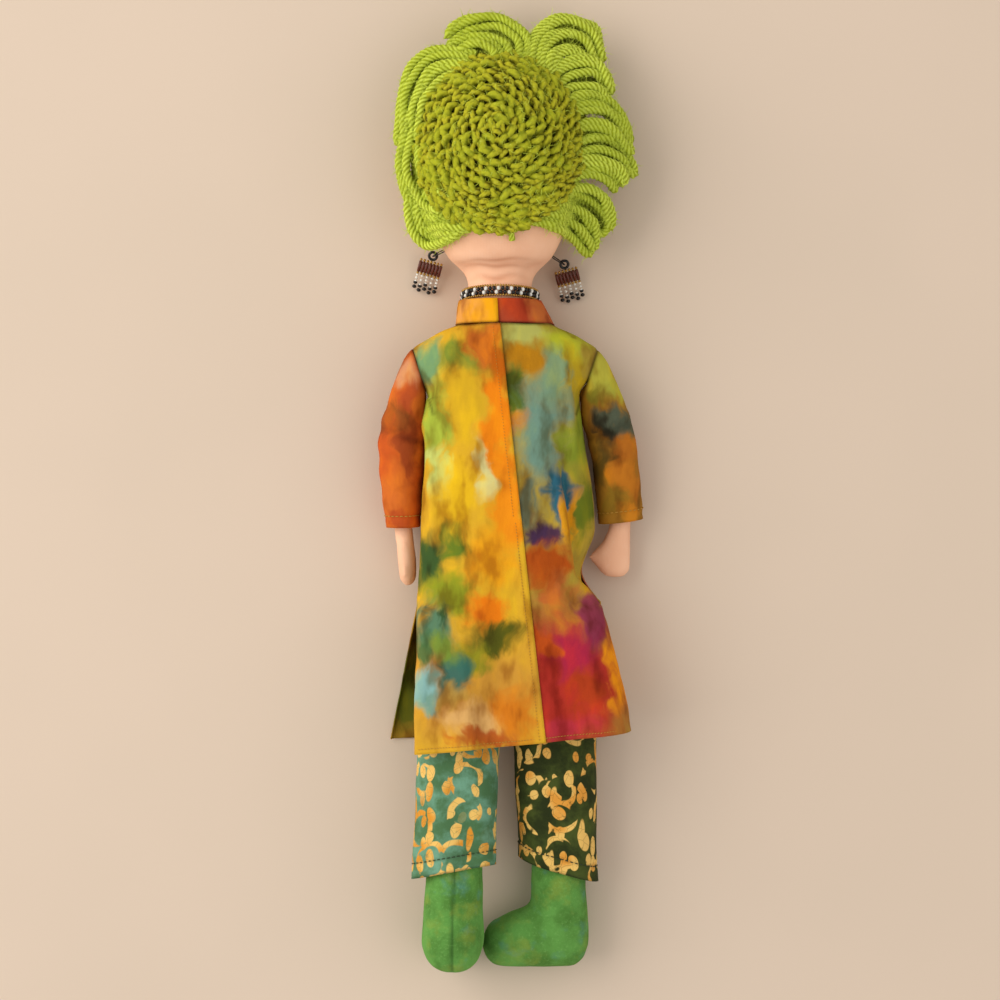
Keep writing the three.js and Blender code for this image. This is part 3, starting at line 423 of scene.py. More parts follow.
def superellipse(angles, wide, deep):
    """Places across and up, at angles about the middle of a section with that half width and half depth."""
    power = 2 / SECTION
    across = wide * np.sign(np.cos(angles)) * np.abs(np.cos(angles)) ** power
    up = deep * np.sign(np.sin(angles)) * np.abs(np.sin(angles)) ** power
    return across, up


# How a finished piece joins the frame


def fitted(piece, nodes, body):
    """A finished piece takes the place of its CAD nodes and rides on a body."""
    if nodes:
        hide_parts(*nodes)
    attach(piece, body)


# Finishes


def plug(tree, value, socket):
    """Links a socket to an input, or sets the input to a value."""
    if isinstance(value, bpy.types.NodeSocket):
        tree.links.new(value, socket)
    else:
        socket.default_value = value


def add(tree, kind, inputs=None, **options):
    """Adds a node, with its options and its inputs set to values or linked to sockets."""
    node = tree.nodes.new(kind)
    for key, value in options.items():
        setattr(node, key, value)
    for key, value in (inputs or {}).items():
        plug(tree, value, node.inputs[key])
    return node


def sums(tree, operation, a, b=0.0, c=0.0):
    """A sum of numbers."""
    return add(tree, "ShaderNodeMath", {0: a, 1: b, 2: c}, operation=operation).outputs[0]


def vectors(tree, operation, a, b=(0.0, 0.0, 0.0), scale=None):
    """A sum of vectors."""
    inputs = {0: a} if operation in ("LENGTH", "SCALE") else {0: a, 1: b}
    if scale is not None:
        inputs["Scale"] = scale
    node = add(tree, "ShaderNodeVectorMath", inputs, operation=operation)
    return node.outputs["Value" if operation == "LENGTH" else "Vector"]


def stepped(tree, value, low, high, start=0.0, end=1.0):
    """A smooth step of a value from low to high."""
    inputs = {"Value": value, "From Min": low, "From Max": high, "To Min": start, "To Max": end}
    return add(tree, "ShaderNodeMapRange", inputs, interpolation_type="SMOOTHSTEP").outputs["Result"]


def mixed(tree, share, a, b, blend="MIX"):
    """Colour b laid over colour a by a share."""
    node = add(tree, "ShaderNodeMix", {"Factor": share}, data_type="RGBA", blend_type=blend)
    for key, value in (("A", a), ("B", b)):
        plug(tree, value, [s for s in node.inputs if s.name == key and s.type == "RGBA"][0])
    return [s for s in node.outputs if s.type == "RGBA"][0]


def noise_at(tree, vector, scale, detail, roughness):
    """A noise texture's outputs."""
    inputs = {"Vector": vector, "Scale": scale, "Detail": detail, "Roughness": roughness}
    return add(tree, "ShaderNodeTexNoise", inputs).outputs


def cloudy(tree, vector, scale, detail=3.0, roughness=0.55):
    """Smooth noise, as a number about 0.5."""
    return noise_at(tree, vector, scale, detail, roughness)["Fac"]


def finish(name, roughness, **sockets):
    """A new material's node tree and Object coordinates, and what gives it its colour and relief."""
    made = bpy.data.materials.new(name)
    made.use_nodes = True
    tree = made.node_tree
    shader = tree.nodes["Principled BSDF"]
    shader.inputs["Roughness"].default_value = roughness
    for key, value in sockets.items():
        shader.inputs[key.replace("_", " ")].default_value = value

    def coat(paint, height=None, strength=0.0, distance=0.0):
        tree.links.new(paint, shader.inputs["Base Color"])
        if height is not None:
            inputs = {"Height": height, "Strength": strength, "Distance": distance}
            tree.links.new(add(tree, "ShaderNodeBump", inputs).outputs["Normal"], shader.inputs["Normal"])
        return made

    return tree, add(tree, "ShaderNodeTexCoord").outputs["Object"], coat


def strayed(tree, place, reach, scale, detail, roughness=0.55, source=None):
    """A place moved about by noise, by about half of reach each way."""
    clouds = noise_at(tree, place if source is None else source, scale, detail, roughness)["Color"]
    stray = vectors(tree, "SUBTRACT", clouds, (0.5, 0.5, 0.5))
    return vectors(tree, "ADD", place, vectors(tree, "SCALE", stray, scale=reach))


def tinted(tree, paint, value, low, high, most, tint, blend="MIX"):
    """Paint under a tint whose share grows to most as a value goes from low to high."""
    return mixed(tree, stepped(tree, value, low, high, 0.0, most), paint, rgba(tint), blend)


def marked(tree, name):
    """The number that a piece's attribute holds."""
    return add(tree, "ShaderNodeAttribute", attribute_name=name).outputs["Fac"]


def crease_shaded(tree, paint, most, shade, blend="MIX"):
    """Paint with painted shade along the seams and creases that the piece marks."""
    return mixed(tree, sums(tree, "MULTIPLY", marked(tree, "crease"), most), paint, rgba(shade), blend)


def cloth_map(tree):
    """Places on the cloth laid flat, in metres."""
    return add(tree, "ShaderNodeUVMap", uv_map="cloth").outputs["UV"]


def cells(tree, vector, scale, randomness=1.0, **options):
    """A flat pattern of cells."""
    inputs = {"Vector": vector, "Scale": scale, "Randomness": randomness}
    return add(tree, "ShaderNodeTexVoronoi", inputs, voronoi_dimensions="2D", **options).outputs


def weave(tree, vector, threads):
    """Height of a plain weave, with that many threads in a metre each way."""
    scale = threads * math.pi / 10
    ways = [add(tree, "ShaderNodeTexWave", {"Vector": vector, "Scale": scale, "Distortion": 1.2},
                wave_type="BANDS", bands_direction=axis).outputs["Fac"] for axis in ("X", "Y")]
    return sums(tree, "ADD", *ways)


def node_tree(name, sockets, kind="GeometryNodeTree", result="Geometry"):
    """A new node tree, with inputs of the kinds given and a result of the same kind as that input."""
    tree = bpy.data.node_groups.new(name, kind)
    for label, socket in sockets.items():
        tree.interface.new_socket(label, in_out="INPUT", socket_type="NodeSocket" + socket)
    tree.interface.new_socket(result, in_out="OUTPUT", socket_type="NodeSocket" + sockets[result])
    return tree, add(tree, "NodeGroupInput").outputs


def dye_wash():
    """A node group: one wash of dye with a soft edge, laid over the colour so far."""
    tree, given = node_tree("Dye wash", {
        "Colour": "Color", "Place": "Vector", "Centre": "Vector", "Reach": "Vector", "Dye": "Color",
        "Strength": "Float"}, "ShaderNodeTree", "Colour")
    apart = vectors(tree, "SUBTRACT", given["Place"], given["Centre"])
    far = vectors(tree, "LENGTH", vectors(tree, "DIVIDE", apart, given["Reach"]))
    share = sums(tree, "MULTIPLY", stepped(tree, far, 1.30, 0.42), given["Strength"])
    add(tree, "NodeGroupOutput", {"Colour": mixed(tree, share, given["Colour"], given["Dye"])})
    return tree


def dyed_cotton(name, ground, washes):
    """Hand-dyed cotton: washes of dye that bleed into each other. Each wash has its centre and its
    reach across and along the doll, in millimetres, its colour and its strength."""
    group = made_once(dye_wash)
    tree, here, coat = finish(name, 0.85, Specular_IOR_Level=0.15)
    moved = strayed(tree, here, 0.026, 42.0, 2.0)
    bled = vectors(tree, "MULTIPLY", moved, (1.0, 0.5, 1.0))
    moved = strayed(tree, moved, 0.017, 120.0, 3.0, 0.58, bled)
    flat = vectors(tree, "MULTIPLY", moved, (1.0, 1.0, 0.0))
    paint = rgba(ground)
    for x, y, wide, long, code, strength in washes:
        centre = world((x, y, 0.0))
        paint = add(tree, "ShaderNodeGroup", {
            "Colour": paint, "Place": flat, "Centre": (centre[0], centre[1], 0.0),
            "Reach": (wide * MM, long * MM, 1.0), "Dye": rgba(code), "Strength": strength,
        }, node_tree=group).outputs["Colour"]
    pooled = cloudy(tree, vectors(tree, "MULTIPLY", here, (1.0, 0.45, 1.0)), 95.0, 3.0, 0.5)
    paint = tinted(tree, paint, pooled, 0.52, 0.30, 0.65, "a88038", "MULTIPLY")
    paint = tinted(tree, paint, pooled, 0.50, 0.74, 0.55, "ffeaa0", "SOFT_LIGHT")
    # Painted shade along the seams that the piece marks.
    paint = crease_shaded(tree, paint, 0.75, "3a2410", "MULTIPLY")
    sheet = cloth_map(tree)
    slub = cloudy(tree, vectors(tree, "MULTIPLY", sheet, (3.0, 1.0, 1.0)), 260.0)
    height = sums(tree, "MULTIPLY_ADD", slub, 1.6, weave(tree, sheet, 1500.0))
    return coat(paint, height, 0.22, 0.0004)


def skin_cotton():
    """Peach cotton over stuffing, a little pinker and darker where it is handled, with painted shade in the
    creases that the piece marks.
    """
    tree, here, coat = finish("skin_cotton", 0.88, Specular_IOR_Level=0.2)
    base = (*settings("doll_body").skin, 1.0)
    paint = tinted(tree, base, cloudy(tree, here, 28.0), 0.4, 0.72, 0.35, "dd9a74")
    paint = tinted(tree, paint, cloudy(tree, here, 420.0, 4.0, 0.7), 0.5, 0.75, 0.25, "f7ccb0")
    # Painted shade in the creases that the piece marks, such as the neck's wrinkles.
    return coat(crease_shaded(tree, paint, 0.8, "b4683e"), weave(tree, here, 1300.0), 0.12, 0.0003)


def lime_yarn(name, light, dark):
    """Fuzzy twisted yarn, with painted shade in the grooves between its plies."""
    tree, here, coat = finish(name, 1.0, Specular_IOR_Level=0.1)
    fibre = cloudy(tree, here, 900.0, 4.0, 0.7)
    # The dark colour is painted shade, in the grooves where the ply height is low.
    paint = mixed(tree, stepped(tree, marked(tree, "ply"), -0.9, 0.7), dark, light)
    paint = tinted(tree, paint, marked(tree, "strand"), 0.2, 1.0, 0.40, "a6b52a")
    paint = tinted(tree, paint, fibre, 0.56, 0.78, 0.55, "e6f084")
    paint = tinted(tree, paint, cloudy(tree, here, 45.0, 2.0), 0.5, 0.75, 0.30, "a4b020")
    return coat(paint, fibre, 0.55, 0.0008)


def printed_cotton(name, ground, deep, motif, warm, start):
    """Wax-printed cotton: pebbles, broken rings and leaves of pale wax on a mottled ground."""
    tree, _, coat = finish(name, 0.84, Specular_IOR_Level=0.2)
    sheet = vectors(tree, "ADD", cloth_map(tree), (start, 0.0, 0.0))
    cloth = strayed(tree, sheet, 0.007, 55.0, 1.0)
    paint = mixed(tree, stepped(tree, cloudy(tree, sheet, 60.0, 5.0, 0.65), 0.38, 0.68), deep, ground)

    pebbles = cells(tree, vectors(tree, "MULTIPLY", cloth, (1.0, 0.7, 1.0)), 135.0, 0.8)
    chosen = add(tree, "ShaderNodeSeparateColor", {0: pebbles["Color"]}).outputs
    size = sums(tree, "MULTIPLY_ADD", chosen["Red"], 0.22, 0.20)
    pebble = stepped(tree, sums(tree, "SUBTRACT", size, pebbles["Distance"]), -0.02, 0.03)
    pebble = sums(tree, "MULTIPLY", pebble, stepped(tree, chosen["Green"], 0.42, 0.46))

    off = sums(tree, "SUBTRACT", cells(tree, cloth, 46.0, 0.6)["Distance"], 0.36)
    ring = stepped(tree, sums(tree, "ABSOLUTE", off), 0.075, 0.05)
    ring = sums(tree, "MULTIPLY", ring, stepped(tree, cloudy(tree, cloth, 120.0, 1.0), 0.47, 0.51))

    leaves = cells(tree, vectors(tree, "MULTIPLY", cloth, (1.0, 0.3, 1.0)), 110.0, 0.9)
    pick = add(tree, "ShaderNodeSeparateColor", {0: leaves["Color"]}).outputs["Blue"]
    leaf = stepped(tree, leaves["Distance"], 0.22, 0.17)
    leaf = sums(tree, "MULTIPLY", leaf, stepped(tree, pick, 0.55, 0.60))

    wax = sums(tree, "MAXIMUM", sums(tree, "MAXIMUM", pebble, ring), leaf)
    worn = stepped(tree, cloudy(tree, sheet, 240.0, 4.0, 0.7), 0.24, 0.44)
    pale = mixed(tree, stepped(tree, cloudy(tree, sheet, 48.0, 2.0), 0.46, 0.62), motif, warm)
    paint = mixed(tree, sums(tree, "MULTIPLY", wax, worn), paint, pale)
    veins = cells(tree, cloth, 260.0, feature="DISTANCE_TO_EDGE")["Distance"]
    crackle = stepped(tree, veins, 0.045, 0.01, 0.0, 0.45)
    paint = mixed(tree, sums(tree, "MULTIPLY", crackle, wax), paint, deep)
    # Painted shade along the seams and hem that the piece marks.
    return coat(crease_shaded(tree, paint, 0.7, "1d2a14"), weave(tree, sheet, 1400.0), 0.2, 0.0003)


def green_fleece():
    """Brushed fleece, mottled from yellow green to a cooler green and flecked paler in its nap."""
    tree, here, coat = finish(
        "green_fleece", 1.0, Specular_IOR_Level=0.1, Sheen_Weight=0.25, Sheen_Roughness=0.6,
        Sheen_Tint=rgba("8fb860"))
    base = (*settings("doll_body").fleece, 1.0)
    cloud = cloudy(tree, here, 60.0, 4.0, 0.6)
    other = cloudy(tree, vectors(tree, "ADD", here, (0.3, 0.1, 0.0)), 85.0)
    cool = cloudy(tree, vectors(tree, "ADD", here, (0.0, 0.7, 0.2)), 70.0)
    nap = cloudy(tree, here, 700.0, 5.0, 0.75)
    paint = mixed(tree, stepped(tree, cloud, 0.30, 0.66, 0.15, 1.0), rgba("45702c"), base)
    paint = tinted(tree, paint, other, 0.50, 0.72, 0.50, "8fa040")
    paint = tinted(tree, paint, cool, 0.56, 0.76, 0.55, "58908a")
    paint = tinted(tree, paint, nap, 0.5, 0.75, 0.4, "8cbf6a")
    # Painted shade along the boot's seam, where the piece marks it.
    return coat(crease_shaded(tree, paint, 0.8, "173a18"), nap, 0.6, 0.0009)


def shade_of(tone, share):
    """A share of a colour."""
    return (*[share * value for value in tone], 1.0)


def glass_bead(name, tone, roughness=0.18, metallic=0.0):
    """Small glass or foiled bead, with a faint swirl in its colour."""
    tree, here, coat = finish(
        name, roughness, Metallic=metallic, Specular_IOR_Level=0.28, Coat_Weight=0.12, Coat_Roughness=0.08)
    pale = (*[min(1.0, 1.35 * value + 0.01) for value in tone], 1.0)
    return coat(mixed(tree, cloudy(tree, here, 900.0, 2.0), shade_of(tone, 0.65), pale))


def sewing_thread(name, code):
    """Matt thread, mottled darker by fine noise that stands in as painted shade between its plies."""
    tree, here, coat = finish(name, 0.7)
    tone = srgb(code)
    return coat(mixed(tree, cloudy(tree, here, 1500.0, 2.0), shade_of(tone, 0.6), shade_of(tone, 1.0)))


def white_elastic():
    """Ribbed white elastic, woven along its length, greyer in the hollows of its ribs as painted shade."""
    tree, _, coat = finish("white_elastic", 0.8)
    inputs = {"Vector": cloth_map(tree), "Scale": 260.0}
    ribs = add(tree, "ShaderNodeTexWave", inputs, bands_direction="Y").outputs["Fac"]
    return coat(mixed(tree, ribs, rgba("d9d4c8"), rgba("f4f1ea")), ribs, 0.5, 0.0004)


MADE = {}


def made_once(make, *given):
    """The finish or node tree that a function makes from what is given, whose first is its name."""
    key = (make.__name__, *given[:1])
    if key not in MADE:
        MADE[key] = make(*given)
    return MADE[key]


def bead_coats():
    """The finishes of the beads, by colour."""
    chosen = settings("doll_beads")
    return {
        "black": made_once(glass_bead, "bead_black", srgb("15110f")),
        "white": made_once(glass_bead, "bead_white", srgb("ece6d8"), 0.25),
        "gold": made_once(glass_bead, "bead_gold", chosen.gold, 0.25, 0.6),
        "bugle": made_once(glass_bead, "bead_bugle", chosen.bugle, 0.22),
    }


# Geometry node trees for what repeats or follows a path


def stored(tree, geometry, name, value, domain="POINT"):
    """Geometry with a number stored on its points or instances."""
    inputs = {"Geometry": geometry, "Name": name, "Value": value}
    return add(tree, "GeometryNodeStoreNamedAttribute", inputs, data_type="FLOAT", domain=domain).outputs[0]


def ended(tree, geometry, coat):
    """Ends a tree: instances become a mesh that is smooth and has its finish."""
    real = add(tree, "GeometryNodeRealizeInstances", {"Geometry": geometry}).outputs[0]
    smooth = add(tree, "GeometryNodeSetShadeSmooth", {"Geometry": real}).outputs[0]
    last = add(tree, "GeometryNodeSetMaterial", {"Geometry": smooth, "Material": coat}).outputs[0]
    add(tree, "NodeGroupOutput", {"Geometry": last})
    return tree


def chance(tree, low, high, seed, identity=None):
    """A random number or vector between two limits for each point."""
    kind, wanted = ("FLOAT", "VALUE") if isinstance(low, float) else ("FLOAT_VECTOR", "VECTOR")
    node = add(tree, "FunctionNodeRandomValue", data_type=kind)
    inputs = {"Min": low, "Max": high, "Seed": seed}
    if identity is not None:
        inputs["ID"] = identity
    for key, value in inputs.items():
        plug(tree, value, [s for s in node.inputs if s.name == key and s.type in (wanted, "INT")][0])
    return [s for s in node.outputs if s.type == wanted][0]


def swung_copies(tree, points, turned, swing, shape, size):
    """Copies of one object on points, each turned on from its place by a small swing."""
    swung = add(tree, "FunctionNodeEulerToRotation", {"Euler": swing}).outputs[0]
    turned = add(tree, "FunctionNodeRotateRotation", {"Rotation": turned, "Rotate By": swung},
                 rotation_space="LOCAL").outputs[0]
    copied = add(tree, "GeometryNodeObjectInfo", {"Object": shape}).outputs["Geometry"]
    inputs = {"Points": points, "Instance": copied, "Rotation": turned, "Scale": size}
    return add(tree, "GeometryNodeInstanceOnPoints", inputs).outputs[0]


def yarn_tree():
    """Curves become strands of four plies, twisted together."""
    tree, given = node_tree("Twisted yarn", {
        "Geometry": "Geometry", "Thickness": "Float", "Twist": "Float", "Step": "Float", "Seed": "Int",
        "Yarn": "Material"})
    strand = add(tree, "GeometryNodeResampleCurve", {"Curve": given["Geometry"], "Length": given["Step"]},
                 mode="LENGTH").outputs[0]
    run = add(tree, "GeometryNodeSplineParameter").outputs
    turn = sums(tree, "MULTIPLY", sums(tree, "MULTIPLY", run["Length"], given["Twist"]), math.tau)
    strand = add(tree, "GeometryNodeSetCurveTilt", {"Curve": strand, "Tilt": turn}).outputs[0]
    which = add(tree, "GeometryNodeCurveOfPoint").outputs["Curve Index"]
    strand = stored(tree, strand, "strand", chance(tree, 0.0, 1.0, given["Seed"], which))
    half = sums(tree, "MULTIPLY", given["Thickness"], 0.5)
    ring = add(tree, "GeometryNodeCurvePrimitiveCircle", {"Resolution": 16, "Radius": half}).outputs[0]
    lobe = sums(tree, "COSINE", sums(tree, "MULTIPLY", run["Factor"], PLIES * math.tau))
    ring = stored(tree, ring, "ply", lobe)
    place = add(tree, "GeometryNodeInputPosition").outputs[0]
    swollen = vectors(tree, "SCALE", place, scale=sums(tree, "MULTIPLY_ADD", lobe, 0.075, 0.94))
    ring = add(tree, "GeometryNodeSetPosition", {"Geometry": ring, "Position": swollen}).outputs[0]
    tube = add(tree, "GeometryNodeCurveToMesh", {"Curve": strand, "Profile Curve": ring, "Fill Caps": True})
    return ended(tree, tube.outputs[0], given["Yarn"])


def fuzz_tree():
    """Loose fibres that stand off a mesh of yarn, as copies of one fibre."""
    tree, given = node_tree("Yarn fuzz", {
        "Geometry": "Geometry", "Fibre": "Object", "Density": "Float", "Seed": "Int", "Yarn": "Material"})
    inputs = {"Mesh": given["Geometry"], "Density": given["Density"], "Seed": given["Seed"]}
    spots = add(tree, "GeometryNodeDistributePointsOnFaces", inputs).outputs
    swing = chance(tree, (-1.2, -1.2, -3.1), (1.2, 1.2, 3.1), given["Seed"])
    copies = swung_copies(tree, spots["Points"], spots["Rotation"], swing, given["Fibre"],
                          chance(tree, 0.5, 1.4, given["Seed"]))
    return ended(tree, copies, given["Yarn"])


def scatter_tree(name):
    """Copies of one small shape along curves, standing on the ball or plane that the curves lie on."""
    tree, given = node_tree(name, {
        "Geometry": "Geometry", "Shape": "Object", "Pitch": "Float", "Centre": "Vector", "Radii": "Vector",
        "Jitter": "Float", "Seed": "Int", "Coat": "Material"})
    row = add(tree, "GeometryNodeCurveToPoints", {"Curve": given["Geometry"], "Length": given["Pitch"]},
              mode="LENGTH").outputs
    here = add(tree, "GeometryNodeInputPosition").outputs[0]
    apart = vectors(tree, "SUBTRACT", here, given["Centre"])
    out = vectors(tree, "DIVIDE", vectors(tree, "DIVIDE", apart, given["Radii"]), given["Radii"])
    stand = add(tree, "FunctionNodeAlignRotationToVector", {"Vector": out}, axis="Z").outputs[0]
    lie = add(tree, "FunctionNodeAlignRotationToVector", {"Rotation": stand, "Vector": row["Tangent"]},
              axis="X", pivot_axis="Z").outputs[0]
    any_way = chance(tree, (-1.0, -1.0, -1.0), (1.0, 1.0, 1.0), given["Seed"])
    swing = vectors(tree, "SCALE", any_way, scale=given["Jitter"])
    size = sums(tree, "MULTIPLY_ADD", chance(tree, -1.0, 1.0, given["Seed"]),
                sums(tree, "MULTIPLY", given["Jitter"], 0.35), 1.0)
    copies = swung_copies(tree, row["Points"], lie, swing, given["Shape"], size)
    copies = stored(tree, copies, "strand", chance(tree, 0.0, 1.0, given["Seed"]), "INSTANCE")
    return ended(tree, copies, given["Coat"])


def curves(name, lines):
    """A curve object with one spline for each line of points of the doll frame."""
    data = bpy.data.curves.new(name, "CURVE")
    data.dimensions = "3D"
    for line in lines:
        run = data.splines.new("POLY")
        run.points.add(len(line) - 1)
        flat = np.concatenate([world(line), np.ones((len(line), 1))], axis=1)
        run.points.foreach_set("co", flat.astype(np.float32).ravel())
    return piece_from(name, data)


def grown(name, source, tree, values):
    """The plain mesh that a node tree makes from an object, which it takes the place of."""
    modifier = source.modifiers.new(tree.name, "NODES")
    modifier.node_group = tree
    for item in tree.interface.items_tree:
        if item.in_out == "INPUT" and item.name in values:
            modifier[item.identifier] = values[item.name]
    source.update_tag()
    made = evaluated_mesh(source)
    if not made.polygons:
        raise RuntimeError(f"{name}: the node tree made no faces")
    drop(source)
    made.name = name
    return piece_from(name, made)


def joined(name, parts):
    """Several pieces as one."""
    slots = list(dict.fromkeys(coat for part in parts for coat in part.data.materials))
    sheet = bmesh.new()
    for part in parts:
        place = [slots.index(coat) for coat in part.data.materials]
        start = len(sheet.faces)
        sheet.from_mesh(part.data)
        sheet.faces.ensure_lookup_table()
        for face in sheet.faces[start:]:
            face.material_index = place[min(face.material_index, len(place) - 1)]
    mesh = bpy.data.meshes.new(name)
    sheet.to_mesh(mesh)
    sheet.free()
    for coat in slots:
        mesh.materials.append(coat)
    for part in parts:
        drop(part)
    return piece_from(name, mesh)


def tube_shape(line, radii, sides, lobes=0, twist=0.0):
    """Points, faces and ply heights of a closed tube about a line, in the line's own units."""
    line = np.asarray(line, float)
    count = len(line)
    ahead = np.gradient(line, axis=0)
    ahead /= np.linalg.norm(ahead, axis=1)[:, None]
    side = np.cross(ahead, (0.0, 0.0, 1.0))
    side /= np.maximum(np.linalg.norm(side, axis=1), 1e-9)[:, None]
    rise = np.cross(side, ahead)
    angles = around(sides)
    ply = np.cos(lobes * angles + twist * np.arange(count)[:, None])
    radius = np.asarray(radii, float)[:, None] * (1 + (0.2 * ply if lobes else np.zeros(sides)))
    out = np.cos(angles)[:, None] * side[:, None] + np.sin(angles)[:, None] * rise[:, None]
    verts = line[:, None] + radius[..., None] * out
    faces = []
    for i in range(count - 1):
        for j in range(sides):
            k = (j + 1) % sides
            faces.append((i * sides + j, (i + 1) * sides + j, (i + 1) * sides + k, i * sides + k))
    faces.append(tuple(range(sides)))
    faces.append(tuple((count - 1) * sides + j for j in reversed(range(sides))))
    return verts.reshape(-1, 3).tolist(), faces, ply.ravel().tolist()


def scattered(name, lines, shape, pitch, coat, kind, stand, radii, jitter, seed):
    """Copies of a shape along lines of the doll frame, a pitch apart, that stand out from a place in it."""
    tree = made_once(scatter_tree, kind)
    return grown(name, curves(name, lines), tree, {
        "Shape": shape, "Pitch": pitch, "Centre": tuple(world(stand)), "Radii": radii, "Jitter": jitter,
        "Seed": seed, "Coat": coat})


def middle_of(lines):
    """The middle of several lines."""
    return np.mean([np.mean(line, axis=0) for line in lines], axis=0)


def sewn(name, lines, coat, thread, pitch=None, below=60.0):
    """Running stitches along lines of points of the doll frame, facing away from a point below them."""
    pitch = pitch or settings("doll_tunic").stitch / MM
    reach = pitch * STITCH_SHARE / 2
    rise = thread * 0.5 * np.array((-0.6, 0.5, 0.9, 0.9, 0.5, -0.6))
    line = points_at(np.linspace(-reach, reach, 6), 0, rise)
    radii = np.array((0.5, 0.95, 1, 1, 0.95, 0.5)) * thread
    verts, faces, _ = tube_shape(line * MM, radii * MM, 5)
    shape = shaped("stitch", verts, faces)
    made = scattered(name, lines, shape, pitch * MM, coat, "Sewing stitches",
                     middle_of(lines) - (0, 0, below), LEVEL, 0.05, 3)
    drop(shape)
    return made


def ring_sewn(name, ring, out, coat, pitch, thread):
    """Stitches round a ring of points that is let out a little."""
    middle = ring.mean(axis=0)
    ring = middle + (ring - middle) * out
    return sewn(name, [np.vstack([ring, ring[:1]])], coat, thread, pitch, below=0.0)


# Stuffed pieces


def cad_copy(name, node, coat):
    """A merged copy of a CAD node's mesh as a new piece."""
    mesh = frame["nodes"][node].data.copy()
    mesh.name = name
    shell = bmesh.new()
    shell.from_mesh(mesh)
    bmesh.ops.remove_doubles(shell, verts=shell.verts, dist=1e-5)
    bmesh.ops.recalc_face_normals(shell, faces=shell.faces)
    shell.to_mesh(mesh)
    shell.free()
    return coated(piece_from(name, mesh), coat)


def stuffed(nodes, coat, soften=6):
    """Copies of CAD nodes, remeshed, then filled like cloth bags until the cloth is taut."""
    chosen = settings("doll_body")
    pieces = []
    for node in nodes:
        piece = cad_copy(f"stuffed_{node}", node, coat)
        remeshed(piece, chosen.voxel)
        ease = piece.modifiers.new("Soft edges", "SMOOTH")
        ease.iterations = soften
        ease.factor = 0.5
        pieces.append(coated(baked(piece), coat))
    rests = [coordinates(piece) for piece in pieces]
    fill_with_stuffing(pieces, chosen.pressure)
    for piece, rest in zip(pieces, rests):
        by = coordinates(piece) - rest
        far = np.linalg.norm(by, axis=1)
        by *= (chosen.swell * np.tanh(far / chosen.swell) / np.maximum(far, 1e-9))[:, None]
        put_points(piece, rest + by)
        finer = piece.modifiers.new("Finer", "SUBSURF")
        finer.levels = finer.render_levels = 1
        baked(piece)
        shade_smooth(piece.data)
    return pieces


def fill_with_stuffing(pieces, pressure):
    """Blows the pieces up a little, as cloth with a pressure inside."""
    for piece in pieces:
        bag = piece.modifiers.new("Stuffing", "CLOTH")
        bag.settings.use_pressure = True
        bag.settings.uniform_pressure_force = pressure
        bag.settings.effector_weights.gravity = 0.0
        bag.settings.tension_stiffness = bag.settings.compression_stiffness = 20.0
        bag.point_cache.frame_start = 1
        bag.point_cache.frame_end = FILL_FRAMES
    scene = bpy.context.scene
    for step in range(1, FILL_FRAMES + 1):
        scene.frame_set(step)
    for piece in pieces:
        baked(piece)
    scene.frame_set(1)


def creased(piece, depth, shade):
    """Sinks seams and wrinkles into a piece and marks them for painted shade in its finish."""
    attribute(piece, "crease", np.clip(shade(points_of(piece)), 0, 1))
    return displaced(piece, depth)


def neck_wrinkles(points):
    """How deep a point lies in the three wrinkles across the back of the neck, from 0 to 1."""
    x, y, z = points.T
    back = smoothstep(z, BODY_Z, BODY_Z + 10) * bell(x - NECK[0] + 1.5, 15)
    lines = ((174.5, 0.04), (170.0, -0.03), (165.8, 0.02))
    return back * sum(bell(y - height - lean * x - 0.5 * np.sin(x * 0.3), 1.1) for height, lean in lines)


def neck_waist(points):
    """The neck is drawn in where the beads go round it, and hollow at the nape above them."""
    _, y, z = (points - NECK).T
    return 1.4 * smoothstep(-y, -22, -12) + 3.6 * bell(y - 11.5, 4.8) * smoothstep(z, 0, 12)


def over_shoulder(piece):
    """Bakes the place of an arm or its sleeve into its mesh; on the doll the two turn together, just outside
    the armhole.
    """
    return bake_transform(piece)


def make_body():
    """Head, torso, arms and thighs."""
    bodies = {"head": "head", "torso": "torso", "left_arm": None, "right_arm": None,
              "left_thigh": "left_leg", "right_thigh": "right_leg"}
    pieces = stuffed(bodies, made_once(skin_cotton))
    for piece, (node, body) in zip(pieces, bodies.items()):
        if node == "head":
            # The neck's wrinkles are sunk and marked for painted shade.
            creased(piece, lambda p: -0.55 * neck_wrinkles(p) - neck_waist(p),
                    lambda p: 0.55 * neck_wrinkles(p))
        elif body is None:
            creased(piece, lambda p: 0.25 * ripple(p, 9.0), lambda p: 0 * p[:, 0])
        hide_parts(node)
        if body is None:
            over_shoulder(piece)
        else:
            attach(piece, body)


# How each leg lies about its hip pivot: its tip and its splay, and the turn of its boot, in degrees
LEG_LAY = {"left": (7.586, -1.4, 0.0), "right": (-1.434, 1.4, 88.0)}


def leg_frame(side):
    """The leg's pivot and its axes across, along and up, in the doll frame."""
    tip, splay, _ = LEG_LAY[side]
    pivot = np.array(JOINTS[f"{side}_leg_spread"]["pos_m"]) / MM - SHIFT
    turn = Matrix.Rotation(math.radians(splay), 3, "Z") @ Matrix.Rotation(math.radians(-tip), 3, "X")
    return pivot, np.array(turn)


def boot_seam(side):
    """How close a point is to the boot's back seam, from 0 to 1."""
    pivot, turn = leg_frame(side)
    twist = np.array(Matrix.Rotation(math.radians(LEG_LAY[side][2]), 3, "Y"))

    def near(points):
        x, _, z = (((points - pivot) @ turn) @ twist).T
        return bell(x, 0.8) * smoothstep(z, 0, 6)

    return near


